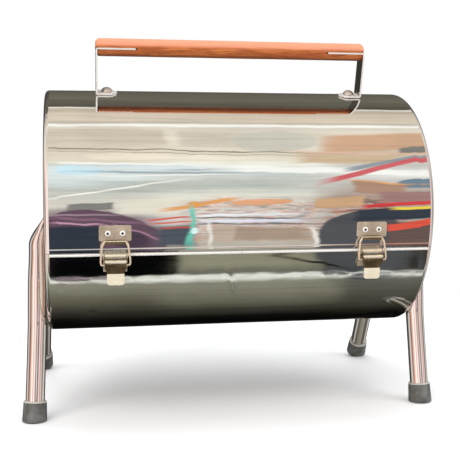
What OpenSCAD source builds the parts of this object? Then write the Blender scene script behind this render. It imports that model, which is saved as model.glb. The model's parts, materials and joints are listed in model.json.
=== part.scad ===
// Portable clamshell barrel grill: two half-barrels of thin stainless sheet, hinged at the back,
// latched at the front, each carrying its own grates and its own pair of folding tube legs.
// Origin: on the floor, under the middle of the whole envelope. +X right, +Y back, +Z up.
// Everything on the barrel is drawn in barrel coordinates (axis along X, seam in the plane z = 0)
// and then leaned forward by barrel_tilt and raised to axis_height.

/* [Barrel] */
// Outside radius of the barrel
barrel_radius = 145; // [130:1:160]
// Length over the rolled ends
barrel_length = 440; // [400:1:480]
// Thickness of the sheet
sheet = 0.8; // [0.6:0.1:1.2]
// Depth of the end plates inside the rolled ends
end_recess = 6; // [5:0.5:7]
// Radius of the rolled ends
end_roll = 5.5; // [4.5:0.5:6]
// Forward lean of the barrel on its legs
barrel_tilt = 15.4; // [12:0.1:18]
// Height of the barrel's axis above the floor
axis_height = 241; // [230:1:255]
// Gap between each half and the seam plane
seam_gap = 0.2; // [0.1:0.1:0.4]
// Radius of the rolled bead along the base's seam edges
rim_bead = 1.6; // [1.2:0.1:1.6]

/* [Handle] */
// Length of the wooden grip
grip_length = 322; // [280:1:340]
// Diameter of the wooden grip
grip_diameter = 20.5; // [18:0.5:24]
// Height of the grip's centre above the barrel
grip_lift = 54; // [45:1:60]
// Depth of the saw cut in each end of the grip
grip_slot_depth = 48; // [30:1:55]
// Width of the steel straps
strap_width = 22; // [16:1:26]
// Thickness of the steel straps
strap_thickness = 2; // [1.5:0.5:2.5]
// Length of each strap's foot on the lid
strap_foot = 25; // [22:1:30]

/* [Legs] */
// Outside diameter of the leg tube
tube_diameter = 22; // [20:0.5:22]
// Wall of the leg tube
tube_wall = 1.2; // [1:0.1:1.5]
// Lean of the front legs from vertical at the top
front_lean = 1.5; // [0:0.1:5]
// Lean of the rear legs from vertical at the top
rear_lean = 28.8; // [24:0.1:32]
// Extra lean below the bend in each leg
knee_bend = 4.7; // [0:0.1:6]
// Height of each leg bolt from the seam plane
bolt_off_seam = 32; // [28:1:36]
// Distance of each leg bolt from the barrel's middle
bolt_off_middle = 48; // [44:1:52]
// Height of the rubber feet
foot_height = 24; // [20:1:28]

/* [Latches] */
// Distance of each latch from the barrel's middle
latch_x = 144.5; // [120:0.5:160]
// Width of the latch lever
lever_width = 23.4; // [20:0.2:24]
// Width of the keeper plate
keeper_width = 34.8; // [30:0.2:38]
// Diameter of the bail wire
wire_diameter = 2.3; // [2:0.1:2.4]

/* [Grates] */
// Diameter of the grate bars
bar_diameter = 4; // [3:0.5:5]
// Number of bars across each cooking grate
cooking_bars = 28; // [16:1:32]
// Number of bars across each charcoal grate
charcoal_bars = 20; // [12:1:24]

/* [Hidden] */
$fn = 64;
eps = 0.05;
big = 400;

// barrel
skin = barrel_radius - sheet;
shell_half = barrel_length / 2 - end_roll;
plate_face = barrel_length / 2 - end_recess;
inner_roll = 1.5;
wall_radius = barrel_radius - end_roll - inner_roll;
skirt = 12;
hem_height = 4.5;
hem_thickness = 0.6;
vent_radius = 5;
vent_depth = 78;
vent_spacing = 22;
bead_y = barrel_radius + rim_bead / 2 - sheet;
skirt_stop = 4;

// hinges: 3-knuckle butt hinges, their pins behind the seam
hinge_x = 130;
hinge_width = 34;
hinge_axis_y = barrel_radius + 3.2;
notch_side = 1.8;
pin_head = 2.3;
knuckle_radius = 3;
pin_radius = 1.5;
knuckle_end = 10;
leaf_thickness = 1.2;
leaf_start = asin(3.4 / barrel_radius);
leaf_end = 10.3;
leaf_rivet_angle = 6.6;
leaf_rivet_x = 11;
running_clearance = 0.06;
small_rivet = 2;
rivet_head = 1.2;
plate = 1;
// four rivets, a pair on each side of the barrel's middle
function rivet_xs(centre, spread) = [for (side = [-1, 1], step = [-1, 1]) side * centre + step * spread];

// latches, in (out, up) distances from the front seam line
lever_pin = [5.5, -1.5];
bail_pin = [11, -9.5];
bail_bar = [2.4, 14.2];
hook_gap = 0.85;
hook_sheet = 0.9;
hook_width = 21;
wire = wire_diameter / 2;
sleeve_radius = 3.3;
lever_sheet = 1;
ear_gap = 0.3;
face_top = [13.9, -5.6];
face_bottom = [12.9, -18.2];
cheek_bottom = [13.3, -13.2];
tab_bottom = [14.9, -31.5];
tab_width = 18.6;
keeper_low = 14;
keeper_high = 31;
keeper_rivet_x = 7.9;
keeper_rivet_up = 22.4;
rivet_eye = 1.1;
keeper_rivet_angle = asin(keeper_rivet_up / barrel_radius);
bracket_half = lever_width / 2 + ear_gap + plate;
bracket_high = 2.2;
bracket_low = 8.6;
bracket_rivet_angle = 5.6;
bracket_rivet_x = 6;
bail_rise = norm(bail_bar - bail_pin);
bail_lean = atan2(bail_pin[0] - bail_bar[0], bail_bar[1] - bail_pin[1]);
bail_half = 14.2;
bail_bar_half = 11.2;
bail_pivot = bail_half - lever_width / 2 + 2;
bail_side = [[bail_half, 0], [15.5, 1.8], [14, bail_rise - 4], [bail_bar_half, bail_rise]];

// handle
strap_x = grip_length / 2;
grip_centre = barrel_radius + grip_lift;
dome_rivet_radius = 6.5;
dome_rivet_height = 5.5;
dome_rivet_inset = 13;
handle_shank = 2.5;
strap_tab = 17;
foot_round = 12;
nail_radius = 1.5;
nail_depth = 6;
nail_xs = [strap_x - 12, strap_x - 36];

// legs
tube_radius = tube_diameter / 2;
washer = 1;
tab_thickness = 2 * tube_wall + 0.2;
tab_x = plate_face + washer + tab_thickness / 2;
tab_radius = 17;
bolt_radius = 3;
bolt_head = 2.2;
bolt_head_radius = 7;
washer_radius = 8;
bolt_y = bolt_off_middle;
bolt_z = bolt_off_seam;
knee = 148;
round_from = 120;
oval_at = 54;
flat_to = 14;
oval_spread = 1.6;
// distances of the tube's centre line outside the flattened tab
oval_out = 14.1;
knee_out = 16;
shank_splay = 2.4;
foot_top_radius = 13.25;
foot_bottom_radius = 14.25;
foot_floor = 4;
foot_squash = 2;
shank_line = [sin(shank_splay), -sin(knee_bend), -cos(knee_bend)];
shank_way = shank_line / norm(shank_line);
knee_at = [knee_out, 0, -knee];
shank_lap = 3;
round_out = oval_out + (knee_out - oval_out) * (round_from - oval_at) / (knee - oval_at);

// grates
grate_half_length = plate_face - sheet - 9.2;
cooking_half_width = 135;
charcoal_half_width = 112;
cooking_level = 10;
charcoal_level = 78;
rail_radius = 2.5;
clip_spread = 90;
charcoal_clip_spread = 70;
clip_width = 10;

// where the bolts sit once the barrel leans
function leaned(y, z) = [y * cos(barrel_tilt) - z * sin(barrel_tilt),
                         y * sin(barrel_tilt) + z * cos(barrel_tilt) + axis_height];
front_bolt = leaned(-bolt_y, bolt_z);
rear_bolt = leaned(bolt_y, -bolt_z);
// length of the lower part of a leg, so that its foot presses foot_squash into the floor plane
function foot_drop(lean) = foot_bottom_radius * sin(lean + knee_bend) - foot_squash;
function shank(height, lean) = (height - knee * cos(lean) - foot_drop(lean)) / cos(lean + knee_bend);
function foot_reach(height, lean) = knee * sin(lean) + shank(height, lean) * sin(lean + knee_bend)
    + foot_bottom_radius * cos(lean + knee_bend);
// the envelope from the latches to the rear feet, and the origin half way along it
front_edge = -leaned(-(barrel_radius + face_top[0]), face_top[1])[0];
rear_edge = rear_bolt[0] + foot_reach(rear_bolt[1], rear_lean);
axis_y = (front_edge - rear_edge) / 2;

steel = "#c9ccce";
satin = "#8f9088";
nickel = "#b9ab95";
timber = "#b4562c";
black = "#26282a";

// ---- placing ----

module on_barrel() translate([0, axis_y, axis_height]) rotate([barrel_tilt, 0, 0]) children();
module mirrored(side) mirror([side < 0 ? 1 : 0, 0, 0]) children();
module upside(up) mirror([0, 0, up ? 0 : 1]) children();
// a revolved shape about the barrel's axis, its profile drawn as [radius, x]
module about_axis() rotate([0, 90, 0]) rotate_extrude($fn = 180) children();
module upper_half() intersection() {
    children();
    translate([-big, -big, seam_gap]) cube([2 * big, 2 * big, big]);
}
module lower_half() mirror([0, 0, 1]) upper_half() mirror([0, 0, 1]) children();
// local +Z points straight out of the barrel, angle measured up from the front seam
module on_skin(x, angle, radius = barrel_radius)
    translate([x, 0, 0]) rotate([90 - angle, 0, 0]) translate([0, 0, radius]) children();
// children drawn in (out, up) and extruded along X
module along_x(width) rotate([90, 0, -90]) linear_extrude(width, center = true) children();
module at_latch(side, point)
    translate([side * latch_x, -barrel_radius - point[0], point[1]]) children();
module rod_x(length, radius) rotate([0, 90, 0]) cylinder(h = length, r = radius, center = true);
module rod_y(length, radius) rotate([90, 0, 0]) cylinder(h = length, r = radius, center = true);

// ---- shells and end plates ----

module skin_holes(angles, xs, radius)
    for (angle = angles, x = xs) on_skin(x, angle, skin - 2) cylinder(h = sheet + 6, r = radius);

// room behind the seam for the hinges and the heads of their pins
module hinge_notches(depth) for (side = [-1, 1])
    translate([side * hinge_x - hinge_width / 2 - notch_side, barrel_radius - depth, -2 * hem_height])
        cube([hinge_width + 2 * notch_side, 6, 4 * hem_height]);

module sheet_half() about_axis() translate([skin, -shell_half]) square([sheet, 2 * shell_half]);

module base_shell() color(satin) on_barrel() difference() {
    union() {
        lower_half() sheet_half();
        difference() {
            for (way = [-1, 1]) translate([0, way * bead_y, -seam_gap - rim_bead])
                rod_x(2 * shell_half - 2 * eps, rim_bead);
            hinge_notches(eps);
        }
    }
    skin_holes([180 + leaf_rivet_angle], rivet_xs(hinge_x, leaf_rivet_x), small_rivet);
    skin_holes([-bracket_rivet_angle], rivet_xs(latch_x, bracket_rivet_x), small_rivet);
}

module lid_shell() color(steel) on_barrel() difference() {
    union() {
        upper_half() sheet_half();
        difference() {
            intersection() {
                about_axis() translate([barrel_radius - eps, -shell_half])
                    square([hem_thickness + eps, 2 * shell_half]);
                translate([-big, -big, seam_gap]) cube([2 * big, 2 * big, hem_height]);
            }
            hinge_notches(hem_thickness);
        }
    }
    skin_holes([180 - leaf_rivet_angle], rivet_xs(hinge_x, leaf_rivet_x), small_rivet);
    skin_holes([keeper_rivet_angle], rivet_xs(latch_x, keeper_rivet_x), small_rivet);
    skin_holes([90], [for (side = [-1, 1]) side * (strap_x - dome_rivet_inset)], handle_shank);
}

module end_profile() {
    translate([0, plate_face - sheet]) square([wall_radius, sheet]);
    translate([wall_radius - sheet, plate_face - sheet])
        square([sheet, barrel_length / 2 - inner_roll - plate_face + sheet]);
    translate([wall_radius - sheet + inner_roll, barrel_length / 2 - inner_roll])
        quarter_ring(inner_roll, -1);
    translate([wall_radius - sheet + inner_roll, barrel_length / 2 - sheet])
        square([sheet, sheet]);
    translate([barrel_radius - end_roll, shell_half]) quarter_ring(end_roll, 1);
    translate([skin - sheet - eps, shell_half - skirt]) square([sheet, skirt + 1.6]);
}
module quarter_ring(radius, toward) intersection() {
    difference() {
        circle(r = radius);
        circle(r = radius - sheet);
    }
    translate([toward < 0 ? -radius : 0, 0]) square([radius, radius]);
}
module end_plate(side) mirrored(side) difference() {
    about_axis() end_profile();
    for (step = [-1, 0, 1], up = [-1, 1])
        translate([plate_face - sheet - 1, step * vent_spacing, up * vent_depth])
            rotate([0, 90, 0]) cylinder(h = sheet + 2, r = vent_radius);
    for (place = [[-bolt_y, bolt_z], [bolt_y, -bolt_z]])
        translate([plate_face - sheet - 1, place[0], place[1]])
            rotate([0, 90, 0]) cylinder(h = sheet + 2, r = bolt_radius);
    // the skirts stop short of the seam, clear of the rolled bead
    for (way = [-1, 1]) translate([shell_half - skirt - 1, way * barrel_radius - 4, -skirt_stop])
        cube([skirt + 1 + eps, 8, 2 * skirt_stop]);
}
module base_end(side) color(satin) on_barrel() lower_half() end_plate(side);
module lid_end(side) color(steel) on_barrel() upper_half() end_plate(side);

// ---- grates, drawn for the base and mirrored for the lid ----

module grate(half_width, level, bars) translate([0, 0, -level]) {
    for (side = [-1, 1]) translate([0, side * half_width, 0]) rod_x(2 * grate_half_length, rail_radius);
    for (i = [0 : bars - 1])
        translate([grate_half_length * (2 * i / (bars - 1) - 1), 0, 0])
            rod_y(2 * half_width, bar_diameter / 2);
}
module grate_clip() {
    inner = bar_diameter / 2 + 0.1;
    difference() {
        union() {
            rod_y(clip_width, inner + 1.1);
            translate([inner, -clip_width / 2, -0.6])
                cube([plate_face - sheet - grate_half_length - inner, clip_width, 1.2]);
        }
        rod_y(clip_width + 2, inner);
        translate([-1.6, -clip_width, 0]) cube([3.2, 2 * clip_width, 6]);
    }
}
module grate_clips() both_ends() {
    for (step = [-1, 1]) {
        translate([grate_half_length, step * clip_spread, -cooking_level]) grate_clip();
        translate([grate_half_length, step * charcoal_clip_spread, -charcoal_level]) grate_clip();
    }
}
module both_ends() for (side = [-1, 1]) mirrored(side) children();

module cooking_grate(up) color(steel) on_barrel() upside(!up)
    grate(cooking_half_width, cooking_level, cooking_bars);
module charcoal_grate(up) color(steel) on_barrel() upside(!up)
    grate(charcoal_half_width, charcoal_level, charcoal_bars);
module clips(up) color(steel) on_barrel() upside(!up) grate_clips();

// ---- hinges ----

// drawn for the lid; the base's leaf is its mirror image with the other knuckles
module leaf_arc(from, to, width, inset = 0) rotate([from, 0, 0]) rotate([0, 90, 0]) rotate([0, 0, 90])
    rotate_extrude(angle = to - from, $fn = 180)
        translate([barrel_radius + eps + inset, inset - width / 2])
            square([leaf_thickness - 2 * inset, width - 2 * inset]);
module knuckle(centre, width, bore) translate([centre, hinge_axis_y, 0]) difference() {
    rod_x(width, knuckle_radius);
    rod_x(width + 2, bore);
}
module leaf(knuckles, bore) difference() {
    union() {
        leaf_arc(leaf_start, leaf_end, hinge_width);
        for (k = knuckles) difference() {
            union() {
                translate([k[0], 0, 0]) leaf_arc(0, leaf_start + 0.5, k[1], 0.1);
                translate([k[0], hinge_axis_y, 0]) rod_x(k[1], knuckle_radius);
            }
            translate([k[0], hinge_axis_y, 0]) rod_x(k[1] + 2, bore);
        }
    }
    for (step = [-1, 1])
        on_skin(step * leaf_rivet_x, 180 - leaf_rivet_angle) cylinder(h = 4, r = small_rivet);
}
module upper_leaf(side) color(steel) on_barrel() translate([side * hinge_x, 0, 0])
    leaf([[0, hinge_width - 2 * knuckle_end - 0.4]], pin_radius + running_clearance);
module lower_leaf(side) color(steel) on_barrel() translate([side * hinge_x, 0, 0]) mirror([0, 0, 1])
    leaf([for (step = [-1, 1]) [step * (hinge_width - knuckle_end) / 2, knuckle_end]], pin_radius);
module hinge_pins() color(steel) on_barrel() for (side = [-1, 1])
    translate([side * hinge_x, hinge_axis_y, 0]) {
        rod_x(hinge_width + 2.4, pin_radius);
        for (step = [-1, 1])
            translate([step * (hinge_width / 2 + 0.7), 0, 0]) rod_x(1, pin_head);
    }
// shank through leaf and sheet, low head outside, flattened end inside
module rivet(angle, x, stack) on_skin(x, angle) {
    translate([0, 0, stack + eps]) cylinder(h = 1, r1 = small_rivet + rivet_head, r2 = small_rivet);
    translate([0, 0, -sheet - 1]) cylinder(h = stack + sheet + 1 + eps + 0.5, r = small_rivet);
    translate([0, 0, -sheet - 1]) cylinder(h = 1 - eps, r = small_rivet + 1);
}
module hinge_rivets(angle) color(steel) on_barrel()
    for (x = rivet_xs(hinge_x, leaf_rivet_x)) rivet(angle, x, leaf_thickness + eps);

// ---- latches ----

module keeper(side) color(nickel) on_barrel() difference() {
    union() {
        intersection() {
            translate([side * latch_x, 0, 0]) rotate([0, 90, 0]) rotate([0, 0, 180])
                rotate_extrude(angle = 90, start = 0, $fn = 180)
                    translate([barrel_radius + eps, -keeper_width / 2]) square([plate, keeper_width]);
            translate([side * latch_x, 0, 0]) rotate([90, 0, 0]) linear_extrude(big) rounded_plate();
        }
        at_latch(side, bail_bar) along_x(hook_width) difference() {
            circle(r = wire + hook_gap + hook_sheet);
            circle(r = wire + hook_gap);
            translate([-10, 0]) square([10 + eps, 10]);
            translate([0, -0.3]) square([10, 10]);
        }
    }
    for (step = [-1, 1]) on_skin(side * latch_x + step * keeper_rivet_x, keeper_rivet_angle, skin)
        cylinder(h = 4, r = small_rivet);
}
module rounded_plate() {
    corner = 1.8;
    low = keeper_low - 0.1;
    half = keeper_width / 2;
    translate([-half, low + corner]) square([keeper_width, keeper_high - low - 2 * corner]);
    translate([-half + corner, low]) square([keeper_width - 2 * corner, keeper_high - low]);
    for (x = [-half + corner, half - corner], y = [low + corner, keeper_high - corner])
        translate([x, y]) circle(r = corner);
}
// tubular rivets with an open eye
module keeper_rivets() color(steel) on_barrel()
    for (x = rivet_xs(latch_x, keeper_rivet_x)) on_skin(x, keeper_rivet_angle) difference() {
        union() {
            translate([0, 0, plate + 2 * eps])
                cylinder(h = 0.9, r1 = small_rivet + rivet_head, r2 = small_rivet + 0.4);
            translate([0, 0, -sheet - 1]) cylinder(h = sheet + 2.5, r = small_rivet);
            translate([0, 0, -sheet - 1]) cylinder(h = 1 - eps, r = small_rivet + 1);
        }
        translate([0, 0, -5]) cylinder(h = 20, r = rivet_eye);
    }

module bracket_outline() {
    translate(lever_pin) circle(r = 3.1);
    polygon([[2.5, -2.2], [0.55, -6.6], [-0.35, -12.4], [1.2, -12.4], [8.3, -2.6]]);
}
module latch_bracket(side) color(nickel) on_barrel() difference() {
    union() {
        translate([side * latch_x, 0, 0]) rotate([bracket_high, 0, 0]) rotate([0, 90, 0])
            rotate([0, 0, -90])
            rotate_extrude(angle = bracket_low - bracket_high, $fn = 180)
                translate([barrel_radius + eps, -bracket_half]) square([plate, 2 * bracket_half]);
        for (step = [-1, 1])
            translate([side * latch_x + step * (bracket_half - plate / 2), -barrel_radius, 0])
                along_x(plate) bracket_outline();
    }
    at_latch(side, lever_pin) rod_x(lever_width * 2, pin_radius);
    for (step = [-1, 1]) on_skin(side * latch_x + step * bracket_rivet_x, -bracket_rivet_angle, skin)
        cylinder(h = 4, r = small_rivet);
}
module latch_pins() color(nickel) on_barrel() for (side = [-1, 1])
    at_latch(side, lever_pin) rod_x(2 * bracket_half + 0.4, pin_radius);
module bracket_rivets() color(nickel) on_barrel()
    for (x = rivet_xs(latch_x, bracket_rivet_x)) rivet(-bracket_rivet_angle, x, plate + eps);

module lever_cheek() difference() {
    polygon([lever_pin + [1.2, 3.07], lever_pin + [-1.9, -2.6], bail_pin + [-2.6, -2.2],
        cheek_bottom - [lever_sheet, 0], cheek_bottom, face_top, face_top + [-1.2, 0.6]]);
    translate(lever_pin) circle(r = sleeve_radius - 0.6);
    translate(bail_pin) circle(r = wire + running_clearance);
}
// a flat sheet whose outer face runs from top to bottom, drawn with its top edge along y = 0
module sloped_sheet(top, bottom) {
    run = bottom - top;
    translate([0, -top[0] + lever_sheet / 2, top[1]]) rotate([atan2(-run[0], -run[1]), 0, 0])
        rotate([90, 0, 0]) linear_extrude(lever_sheet, center = true) children();
}
module latch_lever(side) color(nickel) on_barrel() translate([side * latch_x, -barrel_radius, 0]) {
    face_length = norm(face_bottom - face_top);
    shoulder = norm(cheek_bottom - face_top);
    half = lever_width / 2;
    along_x(lever_width) translate(lever_pin) difference() {
        circle(r = sleeve_radius);
        circle(r = pin_radius + running_clearance);
    }
    for (step = [-1, 1])
        translate([step * (half - lever_sheet / 2), 0, 0]) along_x(lever_sheet) lever_cheek();
    sloped_sheet(face_top, face_bottom) polygon([[-half, 0], [half, 0], [half, -shoulder],
        [tab_width / 2, -face_length], [-tab_width / 2, -face_length], [-half, -shoulder]]);
    sloped_sheet(face_bottom, tab_bottom) lever_tab(norm(tab_bottom - face_bottom));
}
module lever_tab(length) {
    corner = 3;
    half = tab_width / 2;
    translate([-half, -length + corner]) square([tab_width, length - corner + 0.6]);
    translate([-half + corner, -length]) square([tab_width - 2 * corner, length]);
    for (x = [-half + corner, half - corner]) translate([x, -length + corner]) circle(r = corner);
}

// a flat bar of constant width along a bent line, its corners mitred
function unit(v) = v / norm(v);
function square_to(v) = [-v[1], v[0]];
function mitre(points, i, offset) = let(
    before = unit(points[max(i, 1)] - points[max(i, 1) - 1]),
    after = unit(points[min(i, len(points) - 2) + 1] - points[min(i, len(points) - 2)]),
    out = unit(square_to(before) + square_to(after)))
    points[i] + out * offset / (out * square_to(before));
module thick_line(points, half_width) polygon(concat(
    [for (i = [0 : len(points) - 1]) mitre(points, i, half_width)],
    [for (i = [len(points) - 1 : -1 : 0]) mitre(points, i, -half_width)]));
// wire bail, bent flat: round pivots, widening sides, sloped shoulders and a round top bar
module latch_bail(side) color(nickel) on_barrel() at_latch(side, bail_pin) rotate([-bail_lean, 0, 0]) {
    for (way = [-1, 1]) {
        translate([way * (bail_half - bail_pivot / 2 + 0.4), 0, 0]) rod_x(bail_pivot, wire);
        rotate([90, 0, 0]) linear_extrude(2 * wire - 0.3, center = true)
            mirror([way < 0 ? 1 : 0, 0]) thick_line(bail_side, wire - 0.05);
    }
    translate([0, 0, bail_rise]) rod_x(2 * bail_bar_half + 0.4, wire);
}

// ---- handle ----

module grip_half_profile() {
    nose = 5;
    radius = grip_diameter / 2;
    square([radius - nose, grip_length / 2]);
    square([radius, grip_length / 2 - nose]);
    translate([radius - nose, grip_length / 2 - nose]) intersection() {
        circle(r = nose);
        square(nose);
    }
}
module handle_grip() color(timber) on_barrel() translate([0, 0, grip_centre]) difference() {
    rotate([0, 90, 0]) rotate_extrude() {
        grip_half_profile();
        mirror([0, 1]) grip_half_profile();
    }
    for (side = [-1, 1]) mirrored(side) {
        translate([strap_x - grip_slot_depth, -grip_diameter, -strap_thickness / 2 - eps])
            cube([grip_slot_depth + 5, 2 * grip_diameter, strap_thickness + 2 * eps]);
        translate([strap_x - strap_thickness - 0.1, -grip_diameter, -grip_diameter])
            cube([strap_thickness + 5, 2 * grip_diameter, grip_diameter]);
        for (x = nail_xs)
            translate([x, 0, -nail_depth]) cylinder(h = grip_diameter, r = nail_radius);
    }
}
module handle_nails() color(steel) on_barrel() translate([0, 0, grip_centre]) both_ends()
    for (x = nail_xs)
        translate([x, 0, -nail_depth]) cylinder(h = nail_depth + grip_diameter / 2 - 0.6, r = nail_radius);
module handle_strap(side) color(steel) on_barrel() mirrored(side) difference() {
    union() {
        translate([strap_x - strap_thickness, -strap_width / 2, barrel_radius + eps])
            cube([strap_thickness, strap_width, grip_lift + strap_thickness / 2 - eps]);
        translate([strap_x - grip_slot_depth + 2, -strap_tab / 2, grip_centre - strap_thickness / 2])
            cube([grip_slot_depth - 2 - eps, strap_tab, strap_thickness]);
        translate([strap_x - strap_foot + foot_round, 0, barrel_radius + eps])
            cylinder(h = strap_thickness, r = foot_round);
        translate([strap_x - strap_foot + foot_round, -foot_round, barrel_radius + eps])
            cube([strap_foot - foot_round - eps, 2 * foot_round, strap_thickness]);
    }
    translate([strap_x - dome_rivet_inset, 0, barrel_radius - 5]) cylinder(h = 20, r = handle_shank);
    for (x = nail_xs) translate([x, 0, grip_centre - 5]) cylinder(h = 10, r = nail_radius);
}
module handle_rivets() color(steel) on_barrel() both_ends()
    translate([strap_x - dome_rivet_inset, 0, barrel_radius + strap_thickness + 2 * eps]) {
        dome = (dome_rivet_radius ^ 2 + dome_rivet_height ^ 2) / (2 * dome_rivet_height);
        intersection() {
            translate([0, 0, dome_rivet_height - dome]) sphere(r = dome);
            cylinder(h = 20, r = dome_rivet_radius);
        }
        translate([0, 0, -strap_thickness - sheet - 2]) {
            cylinder(h = strap_thickness + sheet + 3, r = handle_shank);
            cylinder(h = 1.7, r = 2 * handle_shank);
        }
    }

// ---- legs: drawn with the bolt at the origin, hanging down, outside towards +X ----

module tube_run(from, to, radius) {
    run = to - from;
    length = norm(run);
    translate(from) rotate([0, acos(run[2] / length), atan2(run[1], run[0])])
        cylinder(h = length, r = radius);
}
// a skin through level oval rings, each [centre, half thickness, half width]
module through_rings(rings, sides = 48) polyhedron(
    points = [for (ring = rings, k = [0 : sides - 1])
        ring[0] + [ring[1] * cos(360 * k / sides), ring[2] * sin(360 * k / sides), 0]],
    faces = concat(
        [[for (k = [sides - 1 : -1 : 0]) k]],
        [for (i = [0 : len(rings) - 2], k = [0 : sides - 1])
            [i * sides + k, i * sides + (k + 1) % sides, (i + 1) * sides + k]],
        [for (i = [0 : len(rings) - 2], k = [0 : sides - 1])
            [i * sides + (k + 1) % sides, (i + 1) * sides + (k + 1) % sides, (i + 1) * sides + k]],
        [[for (k = [0 : sides - 1]) (len(rings) - 1) * sides + k]]));
// the pressed end and the bend: flat, then oval, then round, then over the knee into the shank
module pressed_end(inset, top, half_thick) {
    oval = tube_radius - 1 - inset;
    round = tube_radius - inset - eps;
    through = max((top - flat_to) / (oval_at - flat_to), 0);
    through_rings([
        [[oval_out * through, 0, -top], half_thick, tab_radius - 2 * eps - inset],
        [[oval_out, 0, -oval_at], oval, oval + oval_spread],
        [[round_out, 0, -round_from], round, round],
        [knee_at, round, round],
        [knee_at + 2 * shank_lap * shank_way, round, round]]);
}
module leg(shank_length) {
    toe_at = knee_at + (shank_length - foot_floor) * shank_way;
    difference() {
        union() {
            rotate([90, 0, 90]) linear_extrude(tab_thickness, center = true) {
                circle(r = tab_radius);
                translate([-tab_radius + eps, -flat_to]) square([2 * (tab_radius - eps), flat_to]);
            }
            pressed_end(0, flat_to - 2, tab_thickness / 2 - eps);
            tube_run(toe_at, knee_at + shank_lap * shank_way, tube_radius);
        }
        pressed_end(tube_wall, flat_to + 12, 1.5);
        tube_run(toe_at + 5 * shank_way, knee_at + (shank_lap - 0.5) * shank_way,
            tube_radius - tube_wall);
        rotate([0, 90, 0]) cylinder(h = 20, r = bolt_radius + running_clearance, center = true);
    }
}
module placed_leg(side, rear) {
    bolt = rear ? rear_bolt : front_bolt;
    lean = rear ? rear_lean : front_lean;
    translate([0, axis_y, 0]) mirrored(side) translate([tab_x, bolt[0], bolt[1]])
        rotate([rear ? lean : -lean, 0, 0]) mirror([0, rear ? 1 : 0, 0]) children();
}
function shank_of(rear) = rear ? shank(rear_bolt[1], rear_lean) : shank(front_bolt[1], front_lean);
module tube_leg(side, rear) color(steel) placed_leg(side, rear) leg(shank_of(rear));
module rubber_foot(side, rear) color(black) difference() {
    placed_leg(side, rear) foot_cap(shank_of(rear));
    translate([-big, -big, -big]) cube([2 * big, 2 * big, big]);
}
module foot_cap(shank_length) {
    sole = knee_at + shank_length * shank_way;
    difference() {
        translate(sole) rotate([0, acos(-shank_way[2]), atan2(-shank_way[1], -shank_way[0])])
            cylinder(h = foot_height, r1 = foot_bottom_radius, r2 = foot_top_radius);
        tube_run(sole - foot_floor * shank_way, knee_at, tube_radius + eps);
    }
}

// ---- leg bolts ----

module at_bolts(rear) on_barrel() both_ends()
    translate([plate_face, (rear ? 1 : -1) * bolt_y, (rear ? -1 : 1) * bolt_z])
        rotate([0, 90, 0]) children();
// low heads outside, over the tabs; wing nuts inside the barrel
module leg_bolts(rear) color(steel) at_bolts(rear) {
    translate([0, 0, washer + tab_thickness + eps])
        cylinder(h = bolt_head, r1 = bolt_head_radius, r2 = bolt_head_radius - 1.5);
    translate([0, 0, -sheet - 9]) cylinder(h = sheet + 9 + washer + tab_thickness + 1, r = bolt_radius);
}
module leg_washers(rear) color(steel) at_bolts(rear) difference() {
    translate([0, 0, eps]) cylinder(h = washer - 2 * eps, r = washer_radius);
    translate([0, 0, -1]) cylinder(h = 5, r = bolt_radius);
}
module nut_wing() {
    polygon([[2, 0.5], [4.8, 0.5], [12.4, 4.6], [12.4, 8.2], [6.5, 7.6], [2, 4]]);
    translate([10, 7.2]) circle(r = 2.6);
}
module wing_nut() difference() {
    union() {
        cylinder(h = 5.5, r1 = 5.2, r2 = 4.2);
        rotate([90, 0, 0]) linear_extrude(1.8, center = true) {
            nut_wing();
            mirror([1, 0]) nut_wing();
        }
    }
    translate([0, 0, -1]) cylinder(h = 20, r = bolt_radius);
}
module leg_wing_nuts(rear) color(steel) at_bolts(rear)
    translate([0, 0, -sheet - eps]) mirror([0, 0, 1]) wing_nut();

base_shell();
base_end(-1);  // base_end_left
base_end(1);  // base_end_right
cooking_grate(false);  // base_cooking_grate
charcoal_grate(false);  // base_charcoal_grate
clips(false);  // base_grate_clips
lower_leaf(-1);  // hinge_lower_leaf_left
lower_leaf(1);  // hinge_lower_leaf_right
hinge_pins();
hinge_rivets(180 + leaf_rivet_angle);  // hinge_lower_rivets
latch_bracket(-1);  // latch_bracket_left
latch_bracket(1);  // latch_bracket_right
latch_pins();
bracket_rivets();  // latch_bracket_rivets
leg_bolts(true);  // base_leg_bolts
leg_wing_nuts(true);  // base_leg_wing_nuts
leg_washers(true);  // base_leg_washers
lid_shell();
lid_end(-1);  // lid_end_left
lid_end(1);  // lid_end_right
cooking_grate(true);  // lid_cooking_grate
charcoal_grate(true);  // lid_charcoal_grate
clips(true);  // lid_grate_clips
upper_leaf(-1);  // hinge_upper_leaf_left
upper_leaf(1);  // hinge_upper_leaf_right
hinge_rivets(180 - leaf_rivet_angle);  // hinge_upper_rivets
keeper(-1);  // keeper_left
keeper(1);  // keeper_right
keeper_rivets();
handle_grip();
handle_strap(-1);  // handle_strap_left
handle_strap(1);  // handle_strap_right
handle_rivets();
handle_nails();
leg_bolts(false);  // lid_leg_bolts
leg_wing_nuts(false);  // lid_leg_wing_nuts
leg_washers(false);  // lid_leg_washers
tube_leg(-1, false);  // front_leg_left
tube_leg(1, false);  // front_leg_right
tube_leg(-1, true);  // rear_leg_left
tube_leg(1, true);  // rear_leg_right
rubber_foot(-1, false);  // front_foot_left
rubber_foot(1, false);  // front_foot_right
rubber_foot(-1, true);  // rear_foot_left
rubber_foot(1, true);  // rear_foot_right
latch_lever(-1);  // latch_lever_left
latch_lever(1);  // latch_lever_right
latch_bail(-1);  // latch_bail_left
latch_bail(1);  // latch_bail_right
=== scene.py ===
"""Looks for the portable clamshell barrel grill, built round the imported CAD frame."""
import json
import math

import bmesh
import bpy
from mathutils import Matrix, Vector, noise


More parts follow.
